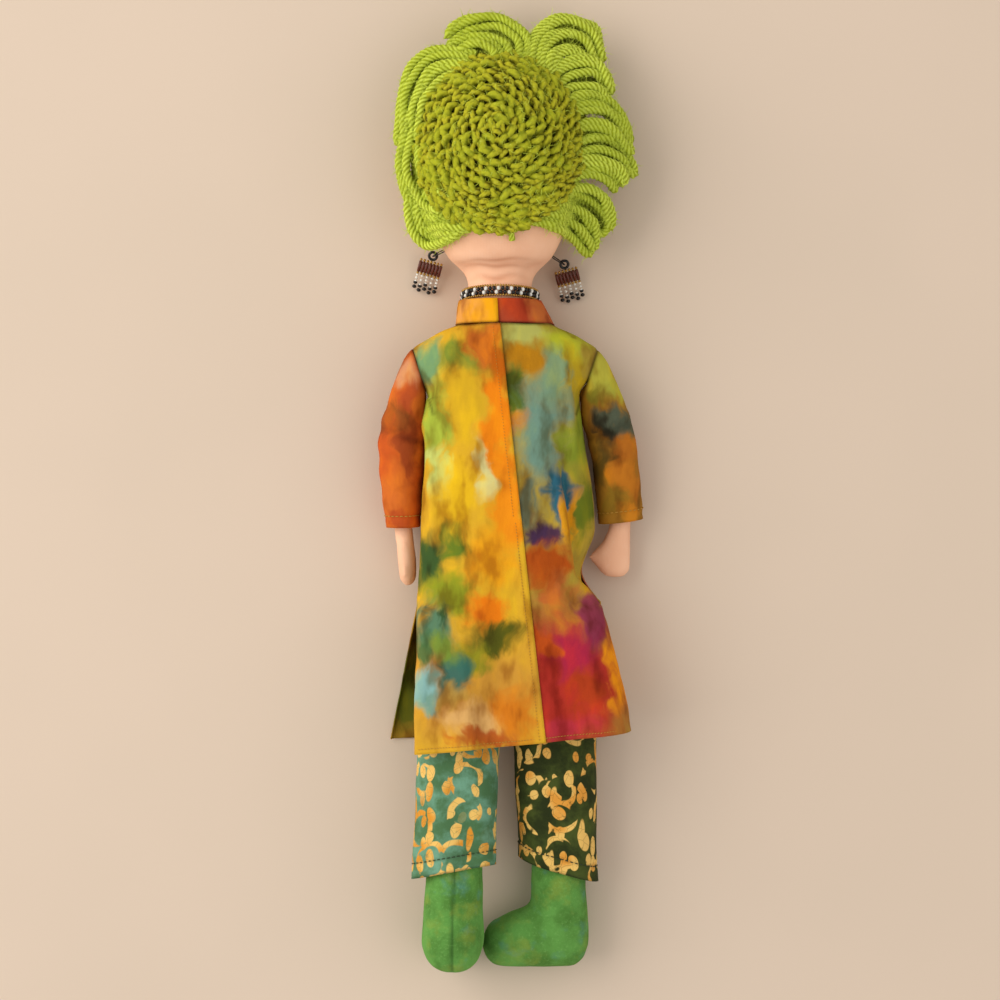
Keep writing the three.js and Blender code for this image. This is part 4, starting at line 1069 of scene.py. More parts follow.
def make_boots():
    """The two fleece boots, with a seam down the back."""
    pieces = stuffed(("left_boot", "right_boot"), made_once(green_fleece), soften=8)
    for piece, side in zip(pieces, SIDES):
        near = boot_seam(side)
        # The back seam is sunk and marked for painted shade.
        creased(piece, lambda p: 0.35 * ripple(p, 11.0) - 1.0 * near(p), lambda p: 0.6 * near(p))
        fitted(piece, [f"{side}_boot"], f"{side}_foot")


# Wig, in the frame of the neck's ball
CAP_CENTRE = np.array((0.0, 79.0, 6.8))
CAP_RADII = np.array((42.0, 46.0, 36.0))
SWIRL = np.array((-2.6, 5.4))
STITCH_STAND = np.array((46.0, 75.0, 30.0))  # radii of the flatter ball that the stitches stand out from
HAIRLINE = (33.0, 36.8, math.radians(50))
# Each lock's strands lie side by side between an outer and an inner path, from the cap's rim to their ends
LOCKS = {
    "lock_top_left": (
        ((13, 117), (15, 134), (0, 144.5), (-18, 143), (-28, 137)),
        ((-8, 116), (-4, 123), (-10, 127), (-18, 127), (-25, 122)), 6),
    "lock_top_right": (
        ((14, 113), (18, 135), (31, 146.5), (48, 142), (55, 126)),
        ((27, 110), (28, 122), (34, 127), (42, 124), (46, 114)), 6),
    "lock_right_upper": (
        ((26, 117), (39, 124), (52, 121), (57, 110)),
        ((32, 99), (42, 104), (51, 103), (55, 98)), 5),
    "lock_right_middle": (
        ((34, 99), (47, 103), (61, 97), (69.5, 82)),
        ((37, 77), (49, 82), (58, 81), (64, 74)), 6),
    "lock_right_lower": (
        ((37, 79), (52, 82), (65, 77), (69.5, 65)),
        ((33, 57), (46, 62), (55, 60), (61, 54)), 6),
    "lock_right_nape": (
        ((30, 55), (44, 58), (56, 53), (59, 40)),
        ((12, 38), (30, 35), (39, 29), (46, 20)), 8),
    "lock_left_upper": (
        ((-12, 125), (-36, 128), (-48.5, 114), (-52.5, 95), (-53, 77)),
        ((-16, 116), (-30, 110), (-38, 99), (-41, 87), (-41, 76)), 5),
    "lock_left_lower": (
        ((-49, 86), (-53, 67), (-48, 51), (-39, 42), (-24, 38)),
        ((-39, 84), (-40, 69), (-35, 57), (-28, 50), (-18, 45)), 5),
    "lock_left_nape": (
        ((-47, 62), (-49, 43), (-44, 30), (-35, 27), (-22, 32)),
        ((-38, 54), (-37, 41), (-31, 36), (-22, 36), (-8, 38)), 5),
    "fringe_left": (
        ((-38, 84), (-38, 112), (-18, 126), (4, 128)),
        ((-28, 80), (-28, 104), (-14, 116), (0, 118)), 5),
    "fringe_right": (
        ((42, 84), (42, 110), (26, 126), (8, 128)),
        ((30, 80), (30, 102), (18, 115), (6, 117)), 5),
}
LAYERS = (0.0, -6.0, -11.5)  # how far each layer of strands lies below the top one
FRINGE_DROP = -13.0  # the fringe lies lower, beside the forehead
NAPE_TAIL = ((3.5, 41.0, 0.0), (4.6, 35.5, 0.0), (5.6, 31.5, 0.0), (6.2, 27.5, 0.0))
SPIRAL_END = math.radians(112)  # how far the rounds of crochet go from the swirl
SPIRAL_SIDE = math.radians(86)  # up to here they lie on the cap, and further on at its side
YARN_STEP = 1.4 * MM  # along a strand's mesh
LINING_VOXEL = 2.2 * MM
CAP_FUZZ = 0.5  # of the fuzz on the loops


def top_of(node):
    """Gives the height of a CAD node's upper side at a place about the neck's ball."""
    mesh = frame["nodes"][node].data
    points = [vertex.co.copy() for vertex in mesh.vertices]
    skin = BVHTree.FromPolygons(points, [tuple(face.vertices) for face in mesh.polygons])

    def height(x, y):
        hit = skin.ray_cast(Vector(world(NECK + (x, y, 200.0))), Vector((0.0, 0.0, -1.0)))[0]
        return -99.0 if hit is None else hit.z / MM - SHIFT[2] - NECK[2]

    return np.vectorize(height, otypes=[float])


HEAD_TOP = top_of("head")
CAP_TOP = top_of("crochet_cap")


def wig_coats():
    """The finishes of the yarn loops and of the crochet."""
    chosen = settings("doll_wig")
    loops = made_once(lime_yarn, "lime_yarn", (*chosen.light, 1.0), (*chosen.dark, 1.0))
    # The crochet's dark colour is painted shade in the grooves of its stitches.
    return loops, made_once(lime_yarn, "lime_yarn_crochet", rgba("bcb62a"), rgba("504a04"))


def above_hairline(points):
    """Distance of points, about the neck's ball, above the plane that the hairline lies in."""
    height, depth, slope = HAIRLINE
    return (points[:, 1] - height) * math.cos(slope) + (points[:, 2] - depth) * math.sin(slope)


def cap_spiral(spacing):
    """The line of stitches: from the swirl on the crown, round and round out to the rim."""
    pole = np.array((*(SWIRL / CAP_RADII[:2]), 0.0))
    pole[2] = math.sqrt(1 - pole @ pole)
    east = np.cross((0.0, 1.0, 0.0), pole)
    east /= np.linalg.norm(east)
    north = np.cross(pole, east)
    rise = spacing / CAP_RADII[:2].mean()
    runs = [[]]
    turned = 0.8
    while (fall := rise * turned / math.tau) <= SPIRAL_END:
        level = math.cos(turned) * east + math.sin(turned) * north
        point = CAP_CENTRE + CAP_RADII * (math.cos(fall) * pole + math.sin(fall) * level)
        if fall < SPIRAL_SIDE:
            point[2] = max(point[2], CAP_TOP(*point[:2]), HEAD_TOP(*point[:2]) + 3.4)
        if above_hairline(point[None])[0] > -2.0 and point[2] > CAP_CENTRE[2] - 4:
            runs[-1].append(point)
        else:
            runs.append([])
        turned += 1.2 / max(CAP_RADII[0] * math.sin(fall), 3.0)
    return [np.array(run) + NECK for run in runs if len(run) > 3]


def crochet_stitch(size):
    """One stitch: two fat strands of yarn that lean together in a V."""
    verts, faces, ply = [], [], []
    for way in (-1, 1):
        line = np.array(((-0.54, 0.04, -0.26), (-0.40, 0.15, 0.02), (-0.15, 0.32, 0.20),
                         (0.12, 0.45, 0.23), (0.36, 0.46, 0.08), (0.52, 0.34, -0.24)))
        radii = np.array((0.17, 0.27, 0.33, 0.34, 0.29, 0.17)) * size
        points, sides, height = tube_shape(line * (1, way, 1) * size, radii, 8, lobes=2, twist=1.25)
        faces += [tuple(i + len(verts) for i in face) for face in sides]
        verts += points
        ply += height
    return attribute(shaped("crochet stitch", verts, faces), "ply", ply)


def yarn(name, lines, thickness, seed):
    """Strands of twisted yarn along lines of the doll frame."""
    return grown(name, curves(name, lines), made_once(yarn_tree), {
        "Thickness": thickness, "Twist": settings("doll_wig").twist, "Step": YARN_STEP, "Seed": seed,
        "Yarn": wig_coats()[0]})


def make_cap():
    """Rounds of crochet over a lining coloured as painted shade between the stitches, and the end of the yarn
    at the nape.
    """
    chosen = settings("doll_wig")
    crochet = wig_coats()[1]
    stitch = crochet_stitch(chosen.pitch)
    rounds = scattered("crochet_rounds", cap_spiral(chosen.rounds / MM), stitch, chosen.pitch * 0.92, crochet,
                       "Crochet rounds", NECK + CAP_CENTRE, tuple(STITCH_STAND * MM), 0.5, chosen.seed)
    drop(stitch)
    lining = cad_copy("cap_lining", "crochet_cap", crochet)
    remeshed(lining, LINING_VOXEL)
    coated(baked(lining), crochet)
    displaced(lining, lambda p: -0.9 + 0.0 * p[:, 0])
    # The lining takes the grooves' dark colour all over: painted shade in the gaps between the stitches.
    attribute(lining, "ply", np.full(len(lining.data.vertices), -0.75))
    across, along, _ = spaced(NAPE_TAIL, 24).T
    tail = points_at(across, along, HEAD_TOP(across, along) + 0.4 * chosen.yarn / MM)
    end = yarn("nape_tail", [NECK + tail], 0.7 * chosen.yarn, 3)
    cap = joined("crochet_cap_yarn", [lining, rounds, end])
    cap = fuzzed(cap, CAP_FUZZ * chosen.fuzz, chosen.seed)
    fitted(cap, ["crochet_cap"], "head")


def hair_height(x, y, sunk):
    """Height of one layer's strands: tucked under the cap's edge, on the head, and lower further out."""
    reach = np.hypot((x - CAP_CENTRE[0]) / CAP_RADII[0], (y - CAP_CENTRE[1]) / CAP_RADII[1])
    upper = np.maximum(CAP_TOP(x, y) - 4.5, 19.0 - 24.0 * (reach - 0.95))
    return np.maximum(upper + sunk, HEAD_TOP(x, y) + 2.2)


def stray(line, size, seed):
    """Smooth noise along each axis at the points of a line, with bumps about size millimetres across."""
    return np.stack([ripple(line, size, start) for start in seed], axis=1)


def lock_strands(lock, thickness, drop_by, seed):
    """The loops of one lock: out along one strand, round its end and back along the next."""
    *paths, count = lock
    chance_of = random.Random(seed)
    outer, inner = (spline([(*p, 0.0) for p in path], 30) for path in paths)
    share = np.linspace(0, 1, 30)
    lines = []
    for layer, sunk in enumerate(LAYERS):
        strands = []
        for k in range(count - layer):
            place = (k + 0.5 * layer + 0.8 * chance_of.uniform(-1, 1)) / (count - 1)
            line = outer + (inner - outer) * min(max(place, 0.0), 1.0)
            reach = 1.0 - 0.05 * layer - 0.16 * chance_of.random() * (0.3 + place)
            line = spaced(spaced(line, 60)[:max(int(60 * reach), 30)], 30)
            line[:, 2] = hair_height(line[:, 0], line[:, 1], sunk + drop_by)
            line[:, 2] += (2.4 - 0.8 * layer) * np.sin(np.pi * share) + chance_of.uniform(-2.4, 2.4) * share
            waver = stray(line, 19.0, [seed + 5.3 * k + axis * 9.7 for axis in range(3)])
            curl = stray(line, 8.5, [seed + 3.1 * k + axis * 4.3 for axis in range(3)])
            strands.append(line + (3.2 * waver + 1.3 * curl) * np.sin(0.5 * np.pi * share)[:, None])
        for near, far in zip(strands[::2], strands[1::2]):
            ahead = near[-1] - near[-4]
            tip = (near[-1] + far[-1]) / 2 + 0.5 * thickness * ahead / np.linalg.norm(ahead)
            loop = np.vstack([near[:-2:3], near[-2:-1], tip[None], far[-2:-1], far[-3::-3]])
            lines.append(spline(loop, 70))
        if len(strands) % 2:
            lines.append(strands[-1])
    for line in lines:
        line[:, 2] = np.maximum(line[:, 2], thickness / 2 + 0.3 - NECK[2])
    return [line + NECK for line in lines]


def fuzzed(piece, density, seed):
    """The piece with loose fibres on it."""
    line = np.array(((0, 0, -0.2), (0.3, 0, 1.0), (1.1, 0.2, 1.9), (2.4, 0.5, 2.2))) * MM
    verts, faces, _ = tube_shape(line, np.array((0.13, 0.12, 0.09, 0.03)) * MM, 3)
    fibre = attribute(shaped("fibre", verts, faces), "ply", np.full(len(verts), 0.6))
    source = piece_from("fuzz", piece.data.copy())
    values = {"Fibre": fibre, "Density": density, "Seed": seed, "Yarn": wig_coats()[0]}
    fuzz = grown("fuzz", source, made_once(fuzz_tree), values)
    drop(fibre)
    made = joined(piece.name, [piece, fuzz])
    shade_smooth(made.data)
    return made


def make_locks():
    """The eleven bundles of yarn loops."""
    chosen = settings("doll_wig")
    for number, (node, lock) in enumerate(LOCKS.items()):
        drop_by = FRINGE_DROP if node.startswith("fringe") else 0.0
        lines = lock_strands(lock, chosen.yarn / MM, drop_by, chosen.seed + 11 * number)
        made = fuzzed(yarn(f"yarn_{node}", lines, chosen.yarn, number), chosen.fuzz, number)
        fitted(made, [node], "head")


# Tunic, up from the lap to the collar seam: height, left and right edge and half depth of its section
TUNIC_ROWS = (
    (-2.0, -45.4, 50.0, 23.6), (15.0, -44.8, 40.4, 23.6), (38.0, -44.0, 47.0, 23.2),
    (52.0, -43.2, 46.3, 23.0), (83.0, -40.6, 41.4, 22.8), (107.0, -40.6, 38.6, 22.6),
    (118.0, -47.0, 46.0, 22.4), (128.0, -50.0, 49.0, 22.0), (137.0, -38.0, 38.0, 21.5),
    (143.0, -26.0, 26.0, 21.5),
)
TUNIC_Y, *TUNIC_SIZES = zip(*TUNIC_ROWS)
tunic_left, tunic_right, tunic_depth = (smooth_table(TUNIC_Y, sizes) for sizes in TUNIC_SIZES)
TUNIC_POINTS = 161  # in one row of the back or front
COLLAR_SEAM = 143.0
HEM = -73.0
SLIT_TOP = -23.0
SEAM_TOP = -3.6  # the centre back seam, across, at the collar
SEAM_LEAN = 23.4  # and how far it has moved over at the hem
ARMHOLE_REACH = 44.0
ARMHOLE_HEIGHT = 118.0
ARMHOLE_LEAN = math.radians(18)
ARMHOLE = {name: np.array((side * ARMHOLE_REACH, ARMHOLE_HEIGHT, BODY_Z)) for name, side in SIDES.items()}
ARMHOLE_TILT = math.tan(ARMHOLE_LEAN)
ARMPIT = 104.0
# The skirt at its hem: which way it faces, its edges across and up, its middle and the slope of the hem
SKIRTS = {
    "back": {"facing": 1, "left": -46.8, "right": 65.0, "left_z": 46.0, "right_z": 14.0, "crown": 54.0,
             "tilt": 0.1},
    "front": {"facing": -1, "left": -61.0, "right": 56.0, "left_z": 4.0, "right_z": 4.0, "crown": 0.0,
              "tilt": 0.03},
}
FAR = 200.0  # past every edge of the tunic
LAP_TOP = -2.0  # where the skirt's edges start
LAP_DEPTH = 23.6  # half depth of the tunic there
SLIT_EASE = 27.0  # how far below the slit's top its edge lies flat
SKIRT_SECTION = 5.5  # the skirt is squarer than the body


def armhole_normal(name):
    """Which way an armhole faces."""
    return np.array((SIDES[name] * math.cos(ARMHOLE_LEAN), -math.sin(ARMHOLE_LEAN), 0.0))


def armhole_x(y):
    """How far out the armhole's plane lies at a height."""
    return ARMHOLE_REACH + ARMHOLE_TILT * (y - ARMHOLE_HEIGHT)


def seam_x(y):
    """The centre back seam, which leans to the right down to the hem."""
    return SEAM_TOP + (COLLAR_SEAM - y) / (COLLAR_SEAM - HEM) * SEAM_LEAN


def arch(across, power):
    """Rise of a superellipse section, from 0 at its sides to 1 in the middle."""
    return np.maximum(1 - np.abs(across) ** power, 0) ** (1 / power)


def tunic_line(y, face):
    """One row of the tunic's back or front, from its left edge to its right edge."""
    skirt = SKIRTS[face]
    facing = skirt["facing"]
    across = np.sin(np.linspace(-math.pi / 2, math.pi / 2, TUNIC_POINTS))
    across = np.sign(across) * (1 - (1 - np.abs(across)) ** 1.4)
    if y >= 0:
        left, right = tunic_left(y), tunic_right(y)
        x = (left + right) / 2 + across * (right - left) / 2
        z = BODY_Z + facing * tunic_depth(y) * arch(across, SECTION)
        return points_at(x, y, z)
    share = y / HEM
    left = part_way(tunic_left(LAP_TOP), skirt["left"], share)
    right = part_way(tunic_right(LAP_TOP), skirt["right"], share)
    hang = smoothstep(-y, -SLIT_TOP, -HEM)
    slit = smoothstep(-y, -SLIT_TOP, SLIT_EASE - SLIT_TOP)
    power = part_way(SECTION, SKIRT_SECTION, smoothstep(-y, 0, -SLIT_TOP * 0.6))
    crown = part_way(BODY_Z + facing * LAP_DEPTH, skirt["crown"], share)
    left_edge = part_way(BODY_Z, skirt["left_z"], slit)
    right_edge = part_way(BODY_Z, skirt["right_z"], hang)
    edge = np.where(across < 0, left_edge, right_edge)
    x = (left + right) / 2 + across * (right - left) / 2
    z = part_way(edge, crown, arch(across, power))
    if facing > 0:
        z = z + 1.3 * hang * np.sin(across * 9 + 0.6)
    tilt = share * skirt["tilt"] * (x - (left + right) / 2)
    return points_at(x, y + tilt, z)


def between_x(line, low, high):
    """The part of a row between two places across, with its ends exactly there."""
    low, high = max(low, line[0, 0]), min(high, line[-1, 0])
    ends = [np.array([np.interp(x, line[:, 0], line[:, k]) for k in range(3)]) for x in (low, high)]
    inner = line[(line[:, 0] > low + 1e-6) & (line[:, 0] < high - 1e-6)]
    return np.vstack([ends[0], inner, ends[1]])


def armhole_limit(y):
    """How far out the tunic's body reaches at a height before the armhole seam."""
    return armhole_x(y) - 0.2 if y > ARMPIT else 99.0


def tunic_rows(face, low_x, high_x, spacing):
    """Evenly spaced rows of one panel, from the collar seam to the hem, between two seams."""
    count = len(np.arange(COLLAR_SEAM, HEM - 0.01, -spacing))
    rows = [between_x(tunic_line(y, face), max(low_x(y), -armhole_limit(y)), min(high_x(y), armhole_limit(y)))
            for y in np.linspace(COLLAR_SEAM, HEM, count)]
    widest = max(gaps(row).sum() for row in rows)
    return np.array([spaced(row, int(widest / spacing) + 1) for row in rows])


def spell(y, low, full, fade, end):
    """From 0 below low to 1 at full, and from 1 at fade back to 0 at end."""
    return smoothstep(y, low, full) * smoothstep(-y, -end, -fade)


def tunic_folds(points):
    """Height of the folds and wrinkles of the tunic's back, in millimetres."""
    x, y, _ = points.T
    deep = settings("doll_tunic").folds / MM
    soft = 0.85 * ripple(points * (1.0, 0.35, 0.4), 13.0, 2.0) * (0.6 + 0.8 * smoothstep(-y, -60, 60))
    fine = 0.32 * ripple(points * (1.0, 0.6, 0.5), 5.0, 8.0)
    hand = np.interp(y, (-4.0, 13.0, 67.0), (50.4, 36.9, 28.6))
    hand_fold = 1.3 * bell(x - hand + 2.6, 3.0) - 1.5 * bell(x - hand - 1.6, 2.4)
    left_drag = 1.3 * bell(x + 37.5 + 0.05 * (y - 60), 2.6)
    right_drag = 1.2 * bell(x - 33.5 - 0.10 * (100 - y), 2.4)
    shoulder = 1.1 * bell(x + 36 - 0.30 * (y - 100), 2.6)
    flare = 0.9 * bell(x + 24 + 0.10 * y, 4.0) + 0.8 * bell(x - 38 + 0.16 * y, 4.0) - 0.5 * bell(x - 27, 3.5)
    folds = (soft + hand_fold * spell(y, -14, 8, 58, 78) + left_drag * spell(y, 10, 40, 88, 108)
             + right_drag * spell(y, 70, 84, 112, 140) + shoulder * spell(y, 82, 96, 120, 138)
             + flare * smoothstep(-y, -6, 40))
    return deep * folds + fine


def over_lap(piece):
    """Bakes the place of a piece of the tunic into its mesh; on the doll the cloth follows the torso above
    the lap and the lap below it.
    """
    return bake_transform(piece)


# Washes of dye, as dyed_cotton takes them
BACK_LEFT_WASHES = (
    (-20, -48, 50, 34, "c48a34", 0.85), (-43, 124, 8, 17, "6f9c6c", 0.95), (-25, 124, 14, 9, "72862c", 0.92),
    (-9, 133, 9, 17, "c2601c", 0.9), (-3, 98, 8, 46, "ea7f08", 0.95), (-22, 100, 9, 24, "cfa41c", 0.85),
    (-36, 92, 8, 26, "a3b63c", 0.95), (-10, 70, 5, 17, "cfcb8c", 0.85), (-34, 66, 6, 13, "c3d070", 0.85),
    (-24, 54, 13, 20, "e2b414", 0.9), (2, 50, 8, 26, "ee8a0c", 0.9), (-38, 21, 12, 15, "2f5226", 0.98),
    (-26, 32, 8, 9, "587420", 0.95), (-6, 22, 14, 16, "eda010", 0.85), (-29, 4, 12, 13, "86911e", 0.95),
    (-10, -5, 11, 10, "e6780a", 0.98), (-38, -14, 13, 14, "47785e", 0.95), (-6, -18, 17, 8, "4c5010", 0.98),
    (-20, -28, 12, 10, "7c801a", 0.9), (-28, -38, 8, 15, "2a665c", 0.95), (-41, -46, 7, 13, "7fb0ac", 0.95),
    (-15, -62, 14, 9, "d8a866", 0.85), (4, -58, 12, 16, "d07410", 0.9), (-14, -71, 18, 5, "ac4e18", 0.9),
    (-41, -27, 7, 8, "3f6a3a", 0.9), (-31, -24, 6, 9, "6f8a2a", 0.85), (-36, -54, 9, 7, "6c9486", 0.85),
    (-33, -8, 5, 6, "2c4a1e", 0.85), (-26, -50, 6, 7, "b08a3a", 0.8),
)
BACK_RIGHT_WASHES = (
    (32, -44, 40, 44, "b02a22", 0.98), (10, 140, 15, 8, "b4b45c", 0.9), (32, 134, 14, 14, "b4b92c", 0.95),
    (9, 124, 12, 10, "b0760c", 0.95), (5, 108, 8, 10, "4e641a", 0.95), (25, 116, 9, 16, "7c9a74", 0.9),
    (36, 112, 6, 24, "b89a18", 0.85), (8, 94, 7, 8, "cc7c0c", 0.98), (18, 86, 12, 30, "6c9282", 0.95),
    (36, 84, 8, 20, "7f9026", 0.9), (27, 55, 6, 19, "125a72", 0.95), (40, 48, 9, 18, "5f6e18", 0.95),
    (12, 49, 7, 12, "5f6e5c", 0.9), (18, 34, 11, 7, "43284a", 0.98), (30, 42, 4, 17, "d8930c", 0.95),
    (20, 18, 14, 13, "b0480a", 0.95), (46, 8, 8, 14, "c48f14", 0.9), (28, 4, 10, 9, "c0602c", 0.85),
    (44, -10, 8, 13, "86284a", 0.9), (34, -26, 14, 14, "a01f40", 0.9), (21, -22, 6, 7, "c2500e", 0.9),
    (42, -46, 9, 13, "a83a10", 0.85), (58, -34, 7, 28, "ee9408", 0.98), (30, -64, 14, 8, "b83040", 0.8),
)
FRONT_WASHES = (
    (-30, 110, 16, 26, "7f8f2c", 0.85), (22, 112, 20, 22, "d98a22", 0.85), (0, 84, 20, 20, "c9b02e", 0.8),
    (-26, 60, 16, 22, "b5502a", 0.8), (28, 54, 16, 24, "5f8f7c", 0.85), (0, 30, 22, 18, "e09a1e", 0.8),
    (-34, 6, 14, 20, "3f5a1c", 0.85), (34, 4, 14, 18, "a03a52", 0.8), (-50, -50, 16, 26, "4d5c14", 0.9),
    (-20, -40, 16, 20, "c8a23a", 0.8), (20, -46, 20, 20, "d0722a", 0.85), (48, -40, 14, 26, "e4a428", 0.85),
)
# Each panel's face of the tunic, ground colour, washes and left and right limits at a height
PANELS = {
    "back_left": ("back", "d6a526", BACK_LEFT_WASHES, lambda y: -FAR, lambda y: seam_x(y) + 1.1),
    "back_right": ("back", "a98f34", BACK_RIGHT_WASHES, lambda y: seam_x(y) - 0.4, lambda y: FAR),
    "front": ("front", "b88a2a", FRONT_WASHES, lambda y: -FAR, lambda y: FAR),
}


def panel_coat(name):
    """The dyed cotton of one panel."""
    _, ground, washes, _, _ = PANELS[name]
    return made_once(dyed_cotton, f"dyed_cotton_{name}", ground, washes)


def panel_seam_shade(points, name):
    """How much painted shade a panel has along its seams, from 0 to 1."""
    x, y, _ = points.T
    edge = bell(y - COLLAR_SEAM, 0.8)
    for side in SIDES.values():
        edge = np.maximum(edge, bell(x - side * armhole_x(y), 0.8) * (y > ARMPIT - 8))
    middle = bell(x - seam_x(y), 0.9) if name == "back_right" else 0
    return np.clip(0.8 * edge + 0.9 * middle, 0, 1)


def make_tunic():
    """The tunic's three panels, from collar to hem. The left back one laps over the right one."""
    chosen = settings("doll_tunic")
    for name, (face, _, _, low_x, high_x) in PANELS.items():
        rows = tunic_rows(face, low_x, high_x, chosen.spacing / MM)
        if name == "back_left":
            lapped = bell(rows[..., 0] - seam_x(rows[..., 1]), 5.0)
            rows[..., 2] += lapped * (0.75 + 0.55 * smoothstep(rows[..., 1], 34, 46))
        sheet = lofted(f"tunic_{name}_cloth", rows, panel_coat(name), flip=face == "back")
        if face == "back":
            displaced(sheet, tunic_folds)
        else:
            displaced(sheet, lambda p: 0.25 * ripple(p, 9.0) - 0.1)
        # Painted shade along the panel's seams, and beside the edge of the lapped panel.
        attribute(sheet, "crease", panel_seam_shade(points_of(sheet), name))
        thick(sheet, chosen.cloth)
        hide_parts(f"tunic_{name}", f"skirt_{name}")
        over_lap(sheet)


PLACKET_TOP = 131.0
PLACKET_FOOT = 65.0
PLACKET_HALF = 6.0


def make_placket():
    """The underlap behind the back opening."""
    rows = []
    for y in np.linspace(PLACKET_TOP, PLACKET_FOOT, 45):
        line = between_x(tunic_line(y, "back"), seam_x(y) - PLACKET_HALF, seam_x(y) + PLACKET_HALF)
        line[:, 2] -= 1.5
        rows.append(spaced(line, 9))
    strip = lofted("back_placket_cloth", rows, panel_coat("back_right"), flip=True)
    # The whole underlap is marked for painted shade, as it lies under the lapped panel.
    attribute(strip, "crease", np.full(len(strip.data.vertices), 0.5))
    thick(strip, 0.6 * MM)
    fitted(strip, ["back_placket"], "torso")


def on_back(points, lift):
    """Points laid on the tunic's back, raised by lift."""
    laid = []
    for x, y in points:
        line = tunic_line(y, "back")
        laid.append((x, *(np.interp(x, line[:, 0], line[:, k]) for k in (1, 2))))
    laid = np.array(laid)
    laid[:, 2] += tunic_folds(laid) + lift
    return laid


def tunic_thread():
    """The thread that the tunic and sleeves are sewn with."""
    return made_once(sewing_thread, "tunic_thread", "c8922c")


def make_tunic_sewing():
    """The stitches beside the back opening, down the seam below it and along the hem."""
    seam = on_back([(seam_x(y) - 2.2, y) for y in np.linspace(40, -71, 90)], 0.85)
    opening = on_back([(seam_x(y) - 3.0, y) for y in np.linspace(141, 44, 80)], 1.1)
    hem = on_back([(x, -70.6) for x in np.linspace(-44, 60, 90)], 0.2)
    made = sewn("tunic_sewing", [seam, opening, hem], tunic_thread(), 0.17)
    over_lap(made)


# Each half of the collar: its first and last angle, how far it lies over the other, its colour and washes
COLLAR_HALVES = (
    ("left", 95.5, 270.0, 1.0, "eaa22a",
     ((-22, 150, 8, 9, "e09a50", 0.85), (-9, 150, 10, 9, "f2a50c", 0.95))),
    ("right", 99.0, -90.0, -0.4, "b0482a",
     ((6, 150, 8, 9, "ac3a1c", 0.95), (19, 150, 7, 8, "c26a30", 0.85))),
)
COLLAR_FOOT = (26.0, 22.0)  # half width and half depth at the seam
COLLAR_TOP = 21.6  # radius at the top edge
COLLAR_GAP = 0.3  # above the seam
COLLAR_RISE = 12.6
COLLAR_LEAN = -2.6  # how far its top edge leans with the neck
COLLAR_POINTS = 60


def collar_rows(start, end, lap):
    """Rows of one half of the collar, from its top edge down, between two angles."""
    rows = []
    for share in np.linspace(1, 0, 12):
        angle = np.radians(np.linspace(start - 3.0 * share, end, COLLAR_POINTS))
        wide = part_way(COLLAR_FOOT[0], COLLAR_TOP, share ** 0.8)
        deep = part_way(COLLAR_FOOT[1], COLLAR_TOP, share)
        x, z = superellipse(angle, wide, deep)
        bulge = 0.5 * math.sin(math.pi * share)
        x = COLLAR_LEAN * share + x + bulge * np.cos(angle)
        z = BODY_Z + z + (bulge * np.sin(angle) + lap * bell(np.arange(COLLAR_POINTS), 6))
        rows.append(points_at(x, COLLAR_SEAM + COLLAR_GAP + COLLAR_RISE * share, z))
    return rows


def make_collar():
    """A band round the neck in two halves that meet at the back seam."""
    halves = []
    for name, start, end, lap, ground, washes in COLLAR_HALVES:
        coat = made_once(dyed_cotton, f"dyed_cotton_collar_{name}", ground, washes)
        half = lofted(f"collar_{name}", collar_rows(start, end, lap), coat, flip=name == "right")
        x, y, z = points_of(half).T
        displaced(half, lambda p: 0.2 * ripple(p, 6.0))
        meeting = bell(x - seam_x(y), 0.8) * (z > BODY_Z)
        # Painted shade along the collar's seam and where its halves meet.
        attribute(half, "crease", 0.9 * bell(y - COLLAR_SEAM, 1.0) + 0.5 * meeting)
        halves.append(half)
    collar = joined("collar_cloth", [thick(half, 0.9 * MM) for half in halves])
    shade_smooth(collar.data)
    fitted(collar, ["collar"], "torso")


# Sleeves: places of the elbow and the cuff about the armhole's centre
ARM_PATHS = {
    "left": ((-9.8, -29.5, -4.0), (-9.2, -80.0, -7.0)),
    "right": ((11.6, -29.5, -6.0), (17.0, -77.0, -11.5)),
}
CUFF_TURN = {"left": 80.0, "right": 0.0}
SLEEVE_WASHES = {
    "left": ("cc6420", (
        (-54, 120, 12, 10, "cf9068", 0.85), (-50, 106, 8, 12, "b04a22", 0.9),
        # The dark brown wash at the crook of the elbow is painted shade of its fold.
        (-58, 92, 10, 8, "8a4a1c", 0.9), (-62, 78, 9, 14, "c2521c", 0.85),
        (-50, 74, 6, 18, "98401a", 0.9), (-58, 54, 9, 12, "cf6a26", 0.85),
        (-53, 42, 10, 7, "b0461c", 0.8),
    )),
    "right": ("9a6a1e", (
        (50, 118, 12, 12, "b9b440", 0.9), (60, 108, 9, 10, "a8a83c", 0.85),
        # The dark grey and near black washes at heights 91 and 88 lie in the crook of the elbow: painted
        # shade of its fold.
        (46, 104, 8, 9, "7a7420", 0.85), (56, 91, 14, 6, "4a5646", 0.95),
        (50, 88, 8, 5, "2c2a1c", 0.85), (62, 80, 9, 9, "b86a1c", 0.9),
        (52, 70, 8, 14, "4a3c14", 0.9), (64, 62, 7, 14, "c4741c", 0.85),
        (58, 48, 10, 7, "8a6a1c", 0.85), (66, 44, 7, 7, "cf801c", 0.9),
    )),
}
SLEEVE_POINTS = 72  # round a sleeve
SLEEVE_START = 0.12  # where the straight part starts, as a share of the way from elbow to cuff
SLEEVE_BEND = {"left": 86.0, "right": 88.0}  # height of the crook of the elbow
SLEEVE_WIDE = (12.3, 11.8)  # half width at the elbow and at the cuff
SLEEVE_DEEP = (12.0, 8.7)
SLEEVE_BOW = 0.48  # how far the tube bows outwards
